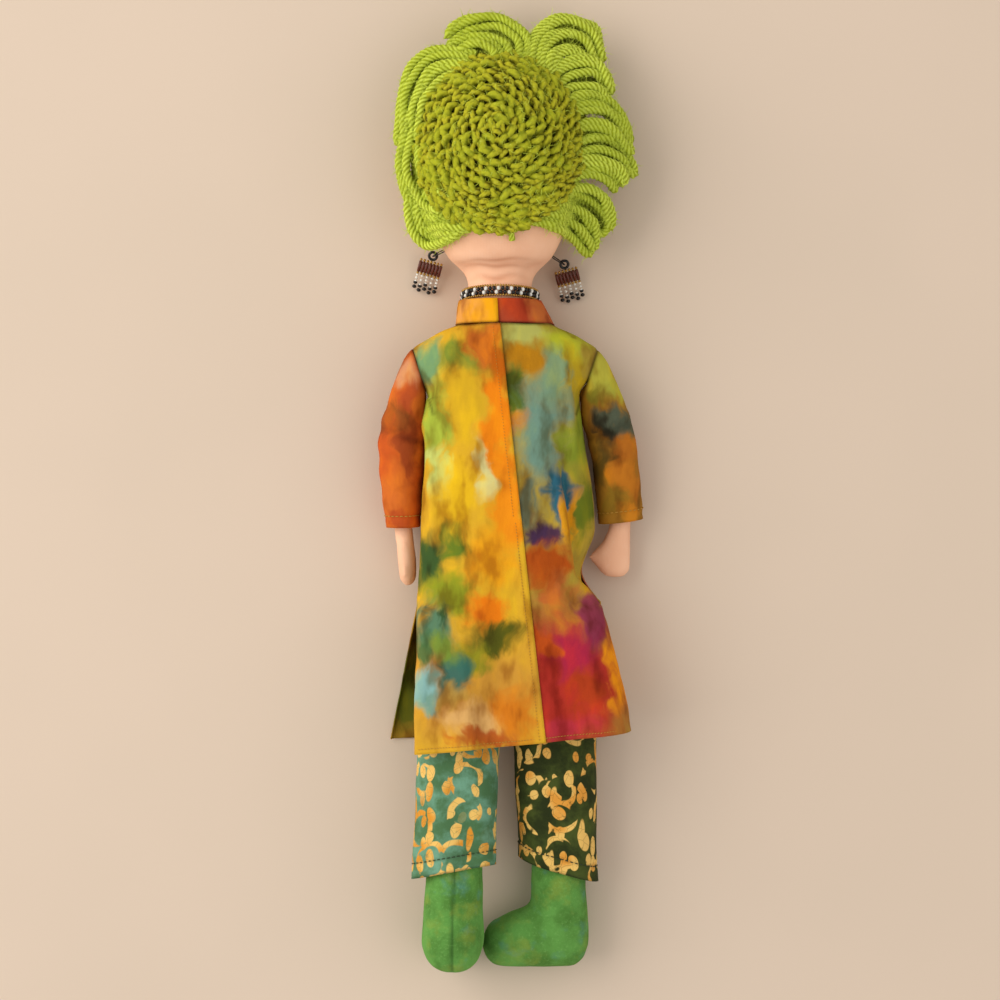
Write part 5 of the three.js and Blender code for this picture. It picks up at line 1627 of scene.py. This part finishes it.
SHOULDER_PULL = 20.0  # how far the shoulder's curve leaves the armhole straight
ELBOW_PULL = 24.0  # and comes straight into the tube


def armhole_outline(name, angles):
    """Where the armhole's plane meets the tunic, at angles about its centre: 0 is up, 90 the back."""
    up = (SIDES[name] * math.sin(ARMHOLE_LEAN), math.cos(ARMHOLE_LEAN), 0.0)
    ways = np.outer(np.cos(angles), up) + np.outer(np.sin(angles), (0.0, 0.0, 1.0))
    low, high = np.zeros(len(angles)), np.full(len(angles), 40.0)
    for _ in range(24):
        reach = (low + high) / 2
        x, y, z = (ARMHOLE[name] + reach[:, None] * ways).T
        left, right = tunic_left(y), tunic_right(y)
        across = (x - (left + right) / 2) / ((right - left) / 2)
        out = np.abs(across) ** SECTION + np.abs((z - BODY_Z) / tunic_depth(y)) ** SECTION > 1
        out |= (y < ARMPIT - 3) | (y > COLLAR_SEAM)
        low, high = np.where(out, low, reach), np.where(out, reach, high)
    for _ in range(6):
        low = (np.roll(low, 1) + 2 * low + np.roll(low, -1)) / 4
    return ARMHOLE[name] + low[:, None] * ways


def sleeve_rows(name, spacing):
    """Rows of a sleeve: the shoulder, curved from the armhole's outline, then a straight tube to the cuff."""
    side = SIDES[name]
    angles = around(SLEEVE_POINTS)
    elbow, cuff = (np.array(place) for place in ARM_PATHS[name])
    down = cuff - elbow
    down /= np.linalg.norm(down)
    outer = np.cross(down, (0, 0, 1.0))
    outer /= np.linalg.norm(outer)
    outer = outer if outer[0] * side > 0 else -outer
    rise = np.cross(outer, down)
    rise = rise if rise[2] > 0 else -rise

    def section(share):
        """Section of the tube from the elbow at 0 to the cuff at 1."""
        bow = SLEEVE_BOW * math.sin(math.pi * share)
        middle = ARMHOLE[name] + part_way(elbow, cuff, share) + np.array((side * bow, 0, 0))
        lean = math.radians(CUFF_TURN[name]) * (0.5 + 0.5 * share)
        across = np.abs(np.cos(angles - lean)) / part_way(*SLEEVE_WIDE, share)
        up = np.abs(np.sin(angles - lean)) / part_way(*SLEEVE_DEEP, share)
        reach = 1 / (across ** SECTION + up ** SECTION) ** (1 / SECTION)
        return middle + np.outer(reach * np.cos(angles), outer) + np.outer(reach * np.sin(angles), rise)

    ring = armhole_outline(name, angles)
    first = section(SLEEVE_START)
    outward = (0.08 + 0.92 * (0.5 + 0.5 * np.cos(angles)) ** 1.2)[:, None]
    start = armhole_normal(name) * SHOULDER_PULL * outward
    end = down * ELBOW_PULL * outward
    rows = []
    for t in np.linspace(0, 1, 26):
        a, b = 2 * t ** 3 - 3 * t ** 2 + 1, t ** 3 - 2 * t ** 2 + t
        c, d = -2 * t ** 3 + 3 * t ** 2, t ** 3 - t ** 2
        rows.append(a * ring + b * start + c * first + d * end)
    rows += [section(share) for share in np.linspace(SLEEVE_START, 1.0, int(46 / spacing))[1:]]
    return np.array(rows)


def clear_of_side(rows, name):
    """Lays a sleeve's inner side along the tunic's side."""
    side = SIDES[name]
    edge = tunic_left if side < 0 else tunic_right
    limit = np.abs(edge(rows[..., 1])) + 0.5
    near = np.abs(rows[..., 2] - BODY_Z) < 17
    low = rows[..., 1] < ARMPIT + 1
    x = rows[..., 0] * side
    inmost = SLEEVE_POINTS // 2
    inner = (0.5 - 0.5 * np.cos(around(SLEEVE_POINTS))) ** 2
    slack = np.clip(x - limit, 0, None)[:, inmost] * smoothstep(rows[:, inmost, 1], 74, 94)
    x = x - np.outer(slack, inner)
    rows[..., 0] = np.where(near & low, np.maximum(x, limit), x) * side
    return rows


def crook_line(points, name):
    """How far points lie above the slanting fold in the crook of an elbow."""
    side = SIDES[name]
    return points[:, 1] - SLEEVE_BEND[name] - side * 0.35 * (points[:, 0] - side * 56)


def sleeve_wrinkles(points, name):
    """Height of a sleeve's wrinkles, in millimetres."""
    _, y, z = points.T
    slant = crook_line(points, name)
    rings = 0.8 * np.sin(0.42 * y + 2.2 * ripple(points, 14.0, 5.0)) * spell(y, 40, 66, 98, 112)
    fold = -1.6 * bell(slant, 2.6) + 1.2 * bell(slant - 6, 3.2)
    hem = 0.35 * bell(y - np.min(y) - 6.0, 1.2)
    raised = smoothstep(z, BODY_Z - 10, BODY_Z + 6)
    return (0.12 + 0.5 * raised) * rings + 0.7 * fold * raised + 0.3 * ripple(points, 6.0) - hem


def make_sleeves():
    """The two sleeves, and the stitches round their cuffs."""
    chosen = settings("doll_tunic")
    for name in SIDES:
        coat = made_once(dyed_cotton, f"dyed_cotton_sleeve_{name}", *SLEEVE_WASHES[name])
        rows = clear_of_side(sleeve_rows(name, chosen.spacing / MM), name)
        sleeve = lofted(f"{name}_sleeve_cloth", rows, coat, closed=True)
        points = points_of(sleeve)
        core = rows.mean(axis=1)
        faced_out(sleeve, np.array([core[np.argmin(np.abs(core[:, 1] - y))] for y in points[:, 1]]))
        displaced(sleeve, lambda p: sleeve_wrinkles(p, name))
        plane = (points - ARMHOLE[name]) @ armhole_normal(name)
        crook = crook_line(points, name)
        # Painted shade along the armhole seam and in the crook of the elbow.
        attribute(sleeve, "crease", np.clip(0.95 * bell(plane, 1.0) + 0.35 * bell(crook, 1.8), 0, 1))
        cuff = points_of(sleeve)[-SLEEVE_POINTS * 5:-SLEEVE_POINTS * 4]
        thick(sleeve, chosen.cloth)
        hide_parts(f"{name}_sleeve")
        over_shoulder(sleeve)
        stitches = ring_sewn(f"{name}_cuff_sewing", cuff, 1.025, tunic_thread(), 2.4, 0.26)
        fitted(stitches, [], f"{name}_arm")


# Trousers
TROUSER_LENGTH = 121.0
HIP_RADIUS = 19.5
TROUSER_HALF = 22.0
TROUSER_DEPTH = 18.5
HEM_SLOPE = {"left": 0.20, "right": -0.32}
HEM_TURN = 8.0  # width of the turned-up hem
TROUSER_POINTS = 84  # round a leg
WAIST_POINTS = 96
# Each leg's deep and warm colours, the start of its print, its thread and the phase of its pleats
LEG_PRINTS = {
    "left": ("4a7048", "d8902c", 0.0, "2f4a24", 1.0),
    "right": ("28300f", "e09a3c", 0.37, "2a3618", 2.4),
}


def trouser_rows(side, spacing):
    """A trouser leg from its domed top under the tunic to its hem, in the doll frame."""
    pivot, turn = leg_frame(side)
    heights = np.concatenate([HIP_RADIUS * np.sin(np.linspace(1.5, 0.0, 12)),
                              np.linspace(0, -TROUSER_LENGTH, int(TROUSER_LENGTH / spacing))[1:]])
    angles = around(TROUSER_POINTS)
    stations = (0, 0.45, 1)
    wides = (HIP_RADIUS, TROUSER_HALF, TROUSER_HALF - 0.5)
    deeps = (TROUSER_DEPTH, TROUSER_DEPTH - 1.2, TROUSER_DEPTH - 2.0)
    rows = []
    for y in heights:
        dome = math.sqrt(max(1 - (max(y, 0) / HIP_RADIUS) ** 2, 0.0))
        fall = min(max(-y / TROUSER_LENGTH, 0), 1)
        x, z = superellipse(angles, np.interp(fall, stations, wides) * dome,
                            np.interp(fall, stations, deeps) * dome)
        hem = HEM_SLOPE[side] * x * smoothstep(fall, 0.55, 1.0)
        rows.append(points_at(x, y + hem, z) @ turn.T + pivot)
    return np.array(rows)


def make_trousers():
    """The two printed legs with their hems, then the seat between them."""
    chosen = settings("doll_trousers")
    for side, (deep, warm, start, thread, phase) in LEG_PRINTS.items():
        ground = (*getattr(chosen, f"{side}_ground"), 1.0)
        coat = made_once(printed_cotton, f"printed_cotton_{side}", ground, rgba(deep), (*chosen.motif, 1.0),
                        rgba(warm), start)
        pivot, turn = leg_frame(side)

        def above_hem(points):
            """Height above the line of stitches, and place across and along the leg."""
            x, y, _ = ((points - pivot) @ turn).T
            return y + TROUSER_LENGTH - HEM_TURN - HEM_SLOPE[side] * x, x, y

        def folds(points):
            """Height of the leg's pleats and its hem's dent, in millimetres."""
            line, x, y = above_hem(points)
            pleats = 0.9 * np.sin(x * 0.30 + 0.04 * y + phase) * smoothstep(-y, 40, 118)
            soft = 0.8 * ripple(points * (1.0, 0.5, 1.0), 12.0, 4.0)
            return soft + pleats - 0.45 * bell(line, 1.1) - 0.2

        rows = trouser_rows(side, 1.5)
        leg = lofted(f"{side}_trouser_cloth", rows, coat, closed=True)
        faced_out(leg, rows.mean(axis=(0, 1)))
        displaced(leg, folds)
        points = points_of(leg)
        line = above_hem(points)[0]
        # Painted shade along the hem's stitch line and its folded edge.
        attribute(leg, "crease", 0.35 * bell(line, 0.9) + 0.6 * bell(line + HEM_TURN, 0.9))
        thick(leg, 0.8 * MM)
        fitted(leg, [f"{side}_trouser_leg"], f"{side}_leg")
        sewing = ring_sewn(f"{side}_hem_sewing", points[-TROUSER_POINTS * 6:-TROUSER_POINTS * 5], 1.01,
                           made_once(sewing_thread, f"hem_thread_{side}", thread), 2.6, 0.3)
        fitted(sewing, [], f"{side}_leg")
    make_waist(coat)


def ring_rows(heights, sizes, gathers=0.0):
    """Level rings about the torso, with half widths and half depths at each height."""
    angles = around(WAIST_POINTS)
    rows = []
    for y, (wide, deep) in zip(heights, sizes):
        wave = gathers * np.sin(angles * 22) * (1 if y > 40 else max(y, 0) / 40)
        x, z = superellipse(angles, wide + wave, deep + wave)
        rows.append(points_at(x, y, z + BODY_Z))
    return rows


SEAT_HEIGHTS = (2, 14, 36, 51, 60)
SEAT_WIDTHS = (33.4, 35.4, 35.4, 36.2, 36.2)
SEAT_DEPTHS = (19.4, 21.4, 21.4, 21.1, 21.1)
ELASTIC_SIZE = (34.9, 19.9)


def make_waist(coat):
    """The seat of the trousers with its gathered casing, and the elastic inside it."""
    heights = np.concatenate([np.linspace(2, 50, 24), np.linspace(51, 60, 8)])
    wide, deep = smooth_table(SEAT_HEIGHTS, SEAT_WIDTHS), smooth_table(SEAT_HEIGHTS, SEAT_DEPTHS)
    rows = ring_rows(heights, [(wide(y), deep(y)) for y in heights], 0.18)
    seat = lofted("trouser_seat_cloth", rows, coat, closed=True, flip=True)
    faced_out(seat, np.mean(rows, axis=(0, 1)))
    attribute(seat, "crease", np.zeros(len(seat.data.vertices)))
    thick(seat, 0.6 * MM)
    fitted(seat, ["trouser_seat"], "torso")
    rows = ring_rows(np.linspace(52, 59, 9), [ELASTIC_SIZE] * 9)
    band = lofted("waist_elastic_band", rows, made_once(white_elastic), closed=True, flip=True)
    faced_out(band, np.mean(rows, axis=(0, 1)))
    thick(band, 0.8 * MM)
    fitted(band, ["waist_elastic"], "torso")


# Beads: length and hole as shares of the diameter
BEAD_LENGTH = 0.8
BEAD_HOLE = 0.3
BEAD_SIDES = 10


def bead_shape(diameter):
    """A round glass bead about the X axis, waisted into its hole."""
    radius = diameter / 2
    steps = np.linspace(-1, 1, 7)
    line = points_at(steps * radius * BEAD_LENGTH, 0, 0)
    radii = radius * np.maximum(np.sqrt(1 - (steps * 0.93) ** 2), BEAD_HOLE)
    verts, faces, _ = tube_shape(line, radii, BEAD_SIDES)
    return shaped("bead", verts, faces)


def threaded(name, lines, shape, pitch, coat):
    """Beads along threads."""
    return scattered(name, lines, shape, pitch, coat, "Threaded beads", middle_of(lines) - (0, 0, 40), LEVEL,
                     0.08, 5)


CHOKER_RISE = 2.0  # how much higher it sits at the nape, in millimetres
CHOKER_ROUNDS = (0.15, 2.15)  # heights of the big beads
CHOKER_RADIUS = 19.8
EDGE_ROUNDS = (-1.3, 3.6)  # heights of the small beads
EDGE_RADIUS = 19.6
EDGE_BEAD = 0.62  # of a big bead
EDGE_PITCH = 0.6
LONE_BEAD = 0.01  # a pitch longer than a line, so that the line has one bead


def choker_ring(angles, radius, height):
    """Places round the neck, higher at the nape."""
    heights = height + CHOKER_RISE * np.maximum(np.sin(angles), 0)
    return NECK + points_at(radius * np.cos(angles), heights, radius * np.sin(angles))


def make_choker():
    """Rounds of black and white beads between two rounds of small gold ones."""
    chosen = settings("doll_beads")
    coats = bead_coats()
    size, count = chosen.choker_bead, chosen.choker_count
    big, small = bead_shape(size), bead_shape(size * EDGE_BEAD)
    parts = []
    for row, height in enumerate(CHOKER_ROUNDS):
        lines = {"black": [], "white": []}
        for k in range(count):
            angle = math.tau * (k + 0.5 * row) / count
            middle = choker_ring(angle, CHOKER_RADIUS, height)
            along = np.array((-math.sin(angle), 0, math.cos(angle))) * 0.4
            tone = "black" if (k + row) % 3 else "white"
            lines[tone].append(np.array([middle - along, middle, middle + along]))
        for tone, short in lines.items():
            parts.append(threaded(f"choker_{row}_{tone}", short, big, LONE_BEAD, coats[tone]))
    for height in EDGE_ROUNDS:
        ring = choker_ring(np.linspace(0, math.tau, 160), EDGE_RADIUS, height)
        parts.append(threaded(f"choker_gold_{height}", [ring], small, size * EDGE_PITCH, coats["gold"]))
    drop(big)
    drop(small)
    fitted(joined("choker_beads", parts), ["choker"], "neck")


# Earrings: the lean and dip of each in degrees, then its rows from the top down, in millimetres
EARRING_LAY = {"left": (-16.0, 20.0), "right": (15.0, 20.0)}
RING_RADIUS = 2.05
RING_THICK = 0.75
RING_POINTS = 25
SEED_BEAD = 1.6 * MM
SEED_PITCH = 1.8 * MM
SEED_ROWS = {"seed_row": (-3.5, 5.5), "foot_row": (-10.9, 5.6)}  # height and half width
BUGLES = 1.82 * (np.arange(7) - 3)
BUGLE_HEIGHTS = (-4.3, -4.5, -7.2, -10.0, -10.2)
BUGLE_RADII = (0.6, 0.88, 0.9, 0.88, 0.6)
STRANDS = 2.75 * (np.arange(5) - 2)
STRAND_TOP = -12.0
STRAND_PITCH = 1.7 * MM
STRAND_FEET = (-17.268, -18.6)  # every other strand is longer
TIP_BEAD = 2.3 * MM
TIP_PITCH = 2.0 * MM


def earring_frame(name):
    """Gives the places, in the doll frame, of points about an earring's hook."""
    lean, dip = EARRING_LAY[name]
    turn = Matrix.Rotation(math.radians(lean), 3, "Z") @ Matrix.Rotation(math.radians(dip), 3, "X")
    pivot = np.array(JOINTS[f"{name}_earring_swing"]["pos_m"]) / MM - SHIFT
    return lambda points: np.asarray(points, float) @ np.array(turn).T + pivot


def solid_tube(name, hung, line, radii, coat):
    """One bead made as a tube about a line of an earring."""
    verts, faces, _ = tube_shape(line, radii, BEAD_SIDES)
    return coated(shaped(name, world(hung(verts)), faces), coat)


def earring_panel(hung, seed, coats):
    """The ring bead, and a row of bugles between two rows of gold seeds."""

    def seeds(row):
        """One row of gold seeds."""
        height, half = SEED_ROWS[row]
        line = hung([(x, height, 0.0) for x in np.linspace(-half, half, 20)])
        return threaded(row, [line], seed, SEED_PITCH, coats["gold"])

    turn = np.linspace(0, math.tau, RING_POINTS)
    ring = points_at(RING_RADIUS * np.cos(turn), RING_RADIUS * np.sin(turn), 0)
    parts = [solid_tube("ring_bead", hung, ring, np.full(RING_POINTS, RING_THICK), coats["black"])]
    parts.append(seeds("seed_row"))
    for x in BUGLES:
        line = [(x, y, 0.0) for y in BUGLE_HEIGHTS]
        parts.append(solid_tube("bugle", hung, line, BUGLE_RADII, coats["bugle"]))
    parts.append(seeds("foot_row"))
    return parts


def earring_fringe(hung, seed, tip, coats):
    """Strands of clear beads that end in black ones."""
    parts = []
    for k, x in enumerate(STRANDS):
        foot = STRAND_FEET[k % 2]
        strand = [(x, y, 0.12 * math.sin(y + k)) for y in np.linspace(STRAND_TOP, foot + 1.6, 14)]
        parts.append(threaded("strand", [hung(strand)], seed, STRAND_PITCH, coats["white"]))
        tips = [(x, y, 0.0) for y in np.linspace(foot + 0.9, foot - 1.4, 4)]
        parts.append(threaded("tip", [hung(tips)], tip, TIP_PITCH, coats["black"]))
    return parts


def make_earrings():
    """The two earrings: a panel of bugles and a fringe on each hook."""
    coats = bead_coats()
    seed, tip = bead_shape(SEED_BEAD), bead_shape(TIP_BEAD)
    for name in EARRING_LAY:
        hung = earring_frame(name)
        for kind, parts, slot in (("panel", earring_panel(hung, seed, coats), "bugle_beads"),
                                  ("fringe", earring_fringe(hung, seed, tip, coats), "glass_beads")):
            made = joined(f"{name}_earring_{kind}_beads", parts)
            shade_smooth(made.data)
            fitted(made, [f"{name}_earring_{kind}"], f"{name}_earring")
        coated(frame["nodes"][f"{name}_earring_hook"], made_once(sewing_thread, "bead_thread", "2a2118"))
    drop(seed)
    drop(tip)


# Stage, in metres, but for the camera's own two
VIEW_MIDDLE = (-2.6, 52.0, 0.0)  # place of the doll frame in the middle of the picture
SENSOR = 36.0  # width in millimetres
TABLE_HALF = 3.0
DOLL_HEIGHT = 0.03  # above the table, where the picture has its width
# Each lamp's place, size and power
LAMPS = {"window": ((-1.6, 0.45, 1.1), 2.2, 34.0), "fill": ((1.3, -0.4, 1.6), 2.0, 8.0)}
LAMP_COLOUR = (1.0, 0.97, 0.93)
SKY_COLOUR = (1.0, 0.985, 0.965, 1.0)
SKY_STRENGTH = 0.62


def lay_table(low, floor):
    """A plain table with a faint grain, at a height."""
    corners = ((-1, -1), (1, -1), (1, 1), (-1, 1))
    table = shaped("table", [(TABLE_HALF * x, TABLE_HALF * y, low) for x, y in corners], [(0, 1, 2, 3)])
    tree, here, coat = finish("pale_table", 0.75)
    grain = cloudy(tree, here, 6.0, 2.0)
    coated(table, coat(tinted(tree, (*floor, 1.0), grain, 0.3, 0.7, 0.35, "d2bfaa")))


def make_stage():
    """Table, camera, lamps and sky."""
    chosen = settings("doll_stage")
    scene = bpy.context.scene
    scene.view_settings.view_transform = "Standard"
    low = CAD_BOX[0][2]
    lay_table(low, chosen.floor)
    lens = bpy.data.cameras.new("camera")
    lens.sensor_width = SENSOR
    lens.lens = SENSOR * (chosen.distance - DOLL_HEIGHT) / chosen.view_width
    lens.clip_end = 20.0
    view = piece_from("camera", lens)
    view.location = (*world(VIEW_MIDDLE)[:2], low + chosen.distance)
    scene.camera = view
    for name, (place, size, watts) in LAMPS.items():
        lamp = bpy.data.lights.new(name, "AREA")
        lamp.size = size
        lamp.energy = watts
        lamp.color = LAMP_COLOUR
        light = piece_from(name, lamp)
        light.location = place
        light.rotation_euler = (-Vector(place)).to_track_quat("-Z", "Y").to_euler()
    sky = bpy.data.worlds.new("studio")
    sky.use_nodes = True
    glow = sky.node_tree.nodes["Background"].inputs
    glow["Color"].default_value = SKY_COLOUR
    glow["Strength"].default_value = SKY_STRENGTH
    scene.world = sky


# Operators, panel and registration


class CLOTH_DOLL_OT_stage(bpy.types.Operator):
    """Lays out the table, camera and lights"""

    bl_idname = "cloth_doll.stage"
    bl_label = "Stage"

    def execute(self, context):
        make_stage()
        return {"FINISHED"}


class CLOTH_DOLL_OT_body(bpy.types.Operator):
    """Stuffs the head, torso, arms and legs"""

    bl_idname = "cloth_doll.body"
    bl_label = "Stuffed Body"

    def execute(self, context):
        make_body()
        return {"FINISHED"}


class CLOTH_DOLL_OT_boots(bpy.types.Operator):
    """Stuffs the fleece boots"""

    bl_idname = "cloth_doll.boots"
    bl_label = "Boots"

    def execute(self, context):
        make_boots()
        return {"FINISHED"}


class CLOTH_DOLL_OT_cap(bpy.types.Operator):
    """Crochets the cap of the wig"""

    bl_idname = "cloth_doll.cap"
    bl_label = "Crochet Cap"

    def execute(self, context):
        make_cap()
        return {"FINISHED"}


class CLOTH_DOLL_OT_locks(bpy.types.Operator):
    """Sews the yarn loops round the cap"""

    bl_idname = "cloth_doll.locks"
    bl_label = "Yarn Loops"

    def execute(self, context):
        make_locks()
        return {"FINISHED"}


class CLOTH_DOLL_OT_tunic(bpy.types.Operator):
    """Drapes the tunic's panels"""

    bl_idname = "cloth_doll.tunic"
    bl_label = "Tunic"

    def execute(self, context):
        make_tunic()
        make_placket()
        make_tunic_sewing()
        return {"FINISHED"}


class CLOTH_DOLL_OT_collar(bpy.types.Operator):
    """Stands the collar round the neck"""

    bl_idname = "cloth_doll.collar"
    bl_label = "Collar"

    def execute(self, context):
        make_collar()
        return {"FINISHED"}


class CLOTH_DOLL_OT_sleeves(bpy.types.Operator):
    """Sets the sleeves into the armholes"""

    bl_idname = "cloth_doll.sleeves"
    bl_label = "Sleeves"

    def execute(self, context):
        make_sleeves()
        return {"FINISHED"}


class CLOTH_DOLL_OT_trousers(bpy.types.Operator):
    """Makes the printed trousers"""

    bl_idname = "cloth_doll.trousers"
    bl_label = "Trousers"

    def execute(self, context):
        make_trousers()
        return {"FINISHED"}


class CLOTH_DOLL_OT_choker(bpy.types.Operator):
    """Threads the bead choker"""

    bl_idname = "cloth_doll.choker"
    bl_label = "Choker"

    def execute(self, context):
        make_choker()
        return {"FINISHED"}


class CLOTH_DOLL_OT_earrings(bpy.types.Operator):
    """Threads the bead earrings"""

    bl_idname = "cloth_doll.earrings"
    bl_label = "Earrings"

    def execute(self, context):
        make_earrings()
        return {"FINISHED"}


OPERATORS = (
    CLOTH_DOLL_OT_stage,
    CLOTH_DOLL_OT_body,
    CLOTH_DOLL_OT_boots,
    CLOTH_DOLL_OT_cap,
    CLOTH_DOLL_OT_locks,
    CLOTH_DOLL_OT_tunic,
    CLOTH_DOLL_OT_collar,
    CLOTH_DOLL_OT_sleeves,
    CLOTH_DOLL_OT_trousers,
    CLOTH_DOLL_OT_choker,
    CLOTH_DOLL_OT_earrings,
)


class CLOTH_DOLL_PT_panel(bpy.types.Panel):
    """Lists the doll's pieces and their settings"""

    bl_label = "Cloth Doll"
    bl_space_type = "VIEW_3D"
    bl_region_type = "UI"
    bl_category = "Cloth Doll"

    def draw(self, context):
        for made in OPERATORS:
            self.layout.operator(made.bl_idname)
        for group, kind in SETTINGS.items():
            for key in kind.__annotations__:
                self.layout.prop(getattr(context.scene, group), key)


CLASSES = (*SETTINGS.values(), *OPERATORS, CLOTH_DOLL_PT_panel)


def register():
    """Adds the settings, operators and panel to Blender."""
    for kind in CLASSES:
        bpy.utils.register_class(kind)
    for group, kind in SETTINGS.items():
        setattr(bpy.types.Scene, group, PointerProperty(type=kind))


def unregister():
    """Takes them out again."""
    for group in SETTINGS:
        delattr(bpy.types.Scene, group)
    for kind in reversed(CLASSES):
        bpy.utils.unregister_class(kind)


def main():
    """Makes every piece."""
    register()
    for kind in OPERATORS:
        group, name = kind.bl_idname.split(".")
        getattr(getattr(bpy.ops, group), name)()
    bpy.context.view_layer.update()


if __name__ == "__main__":
    main()
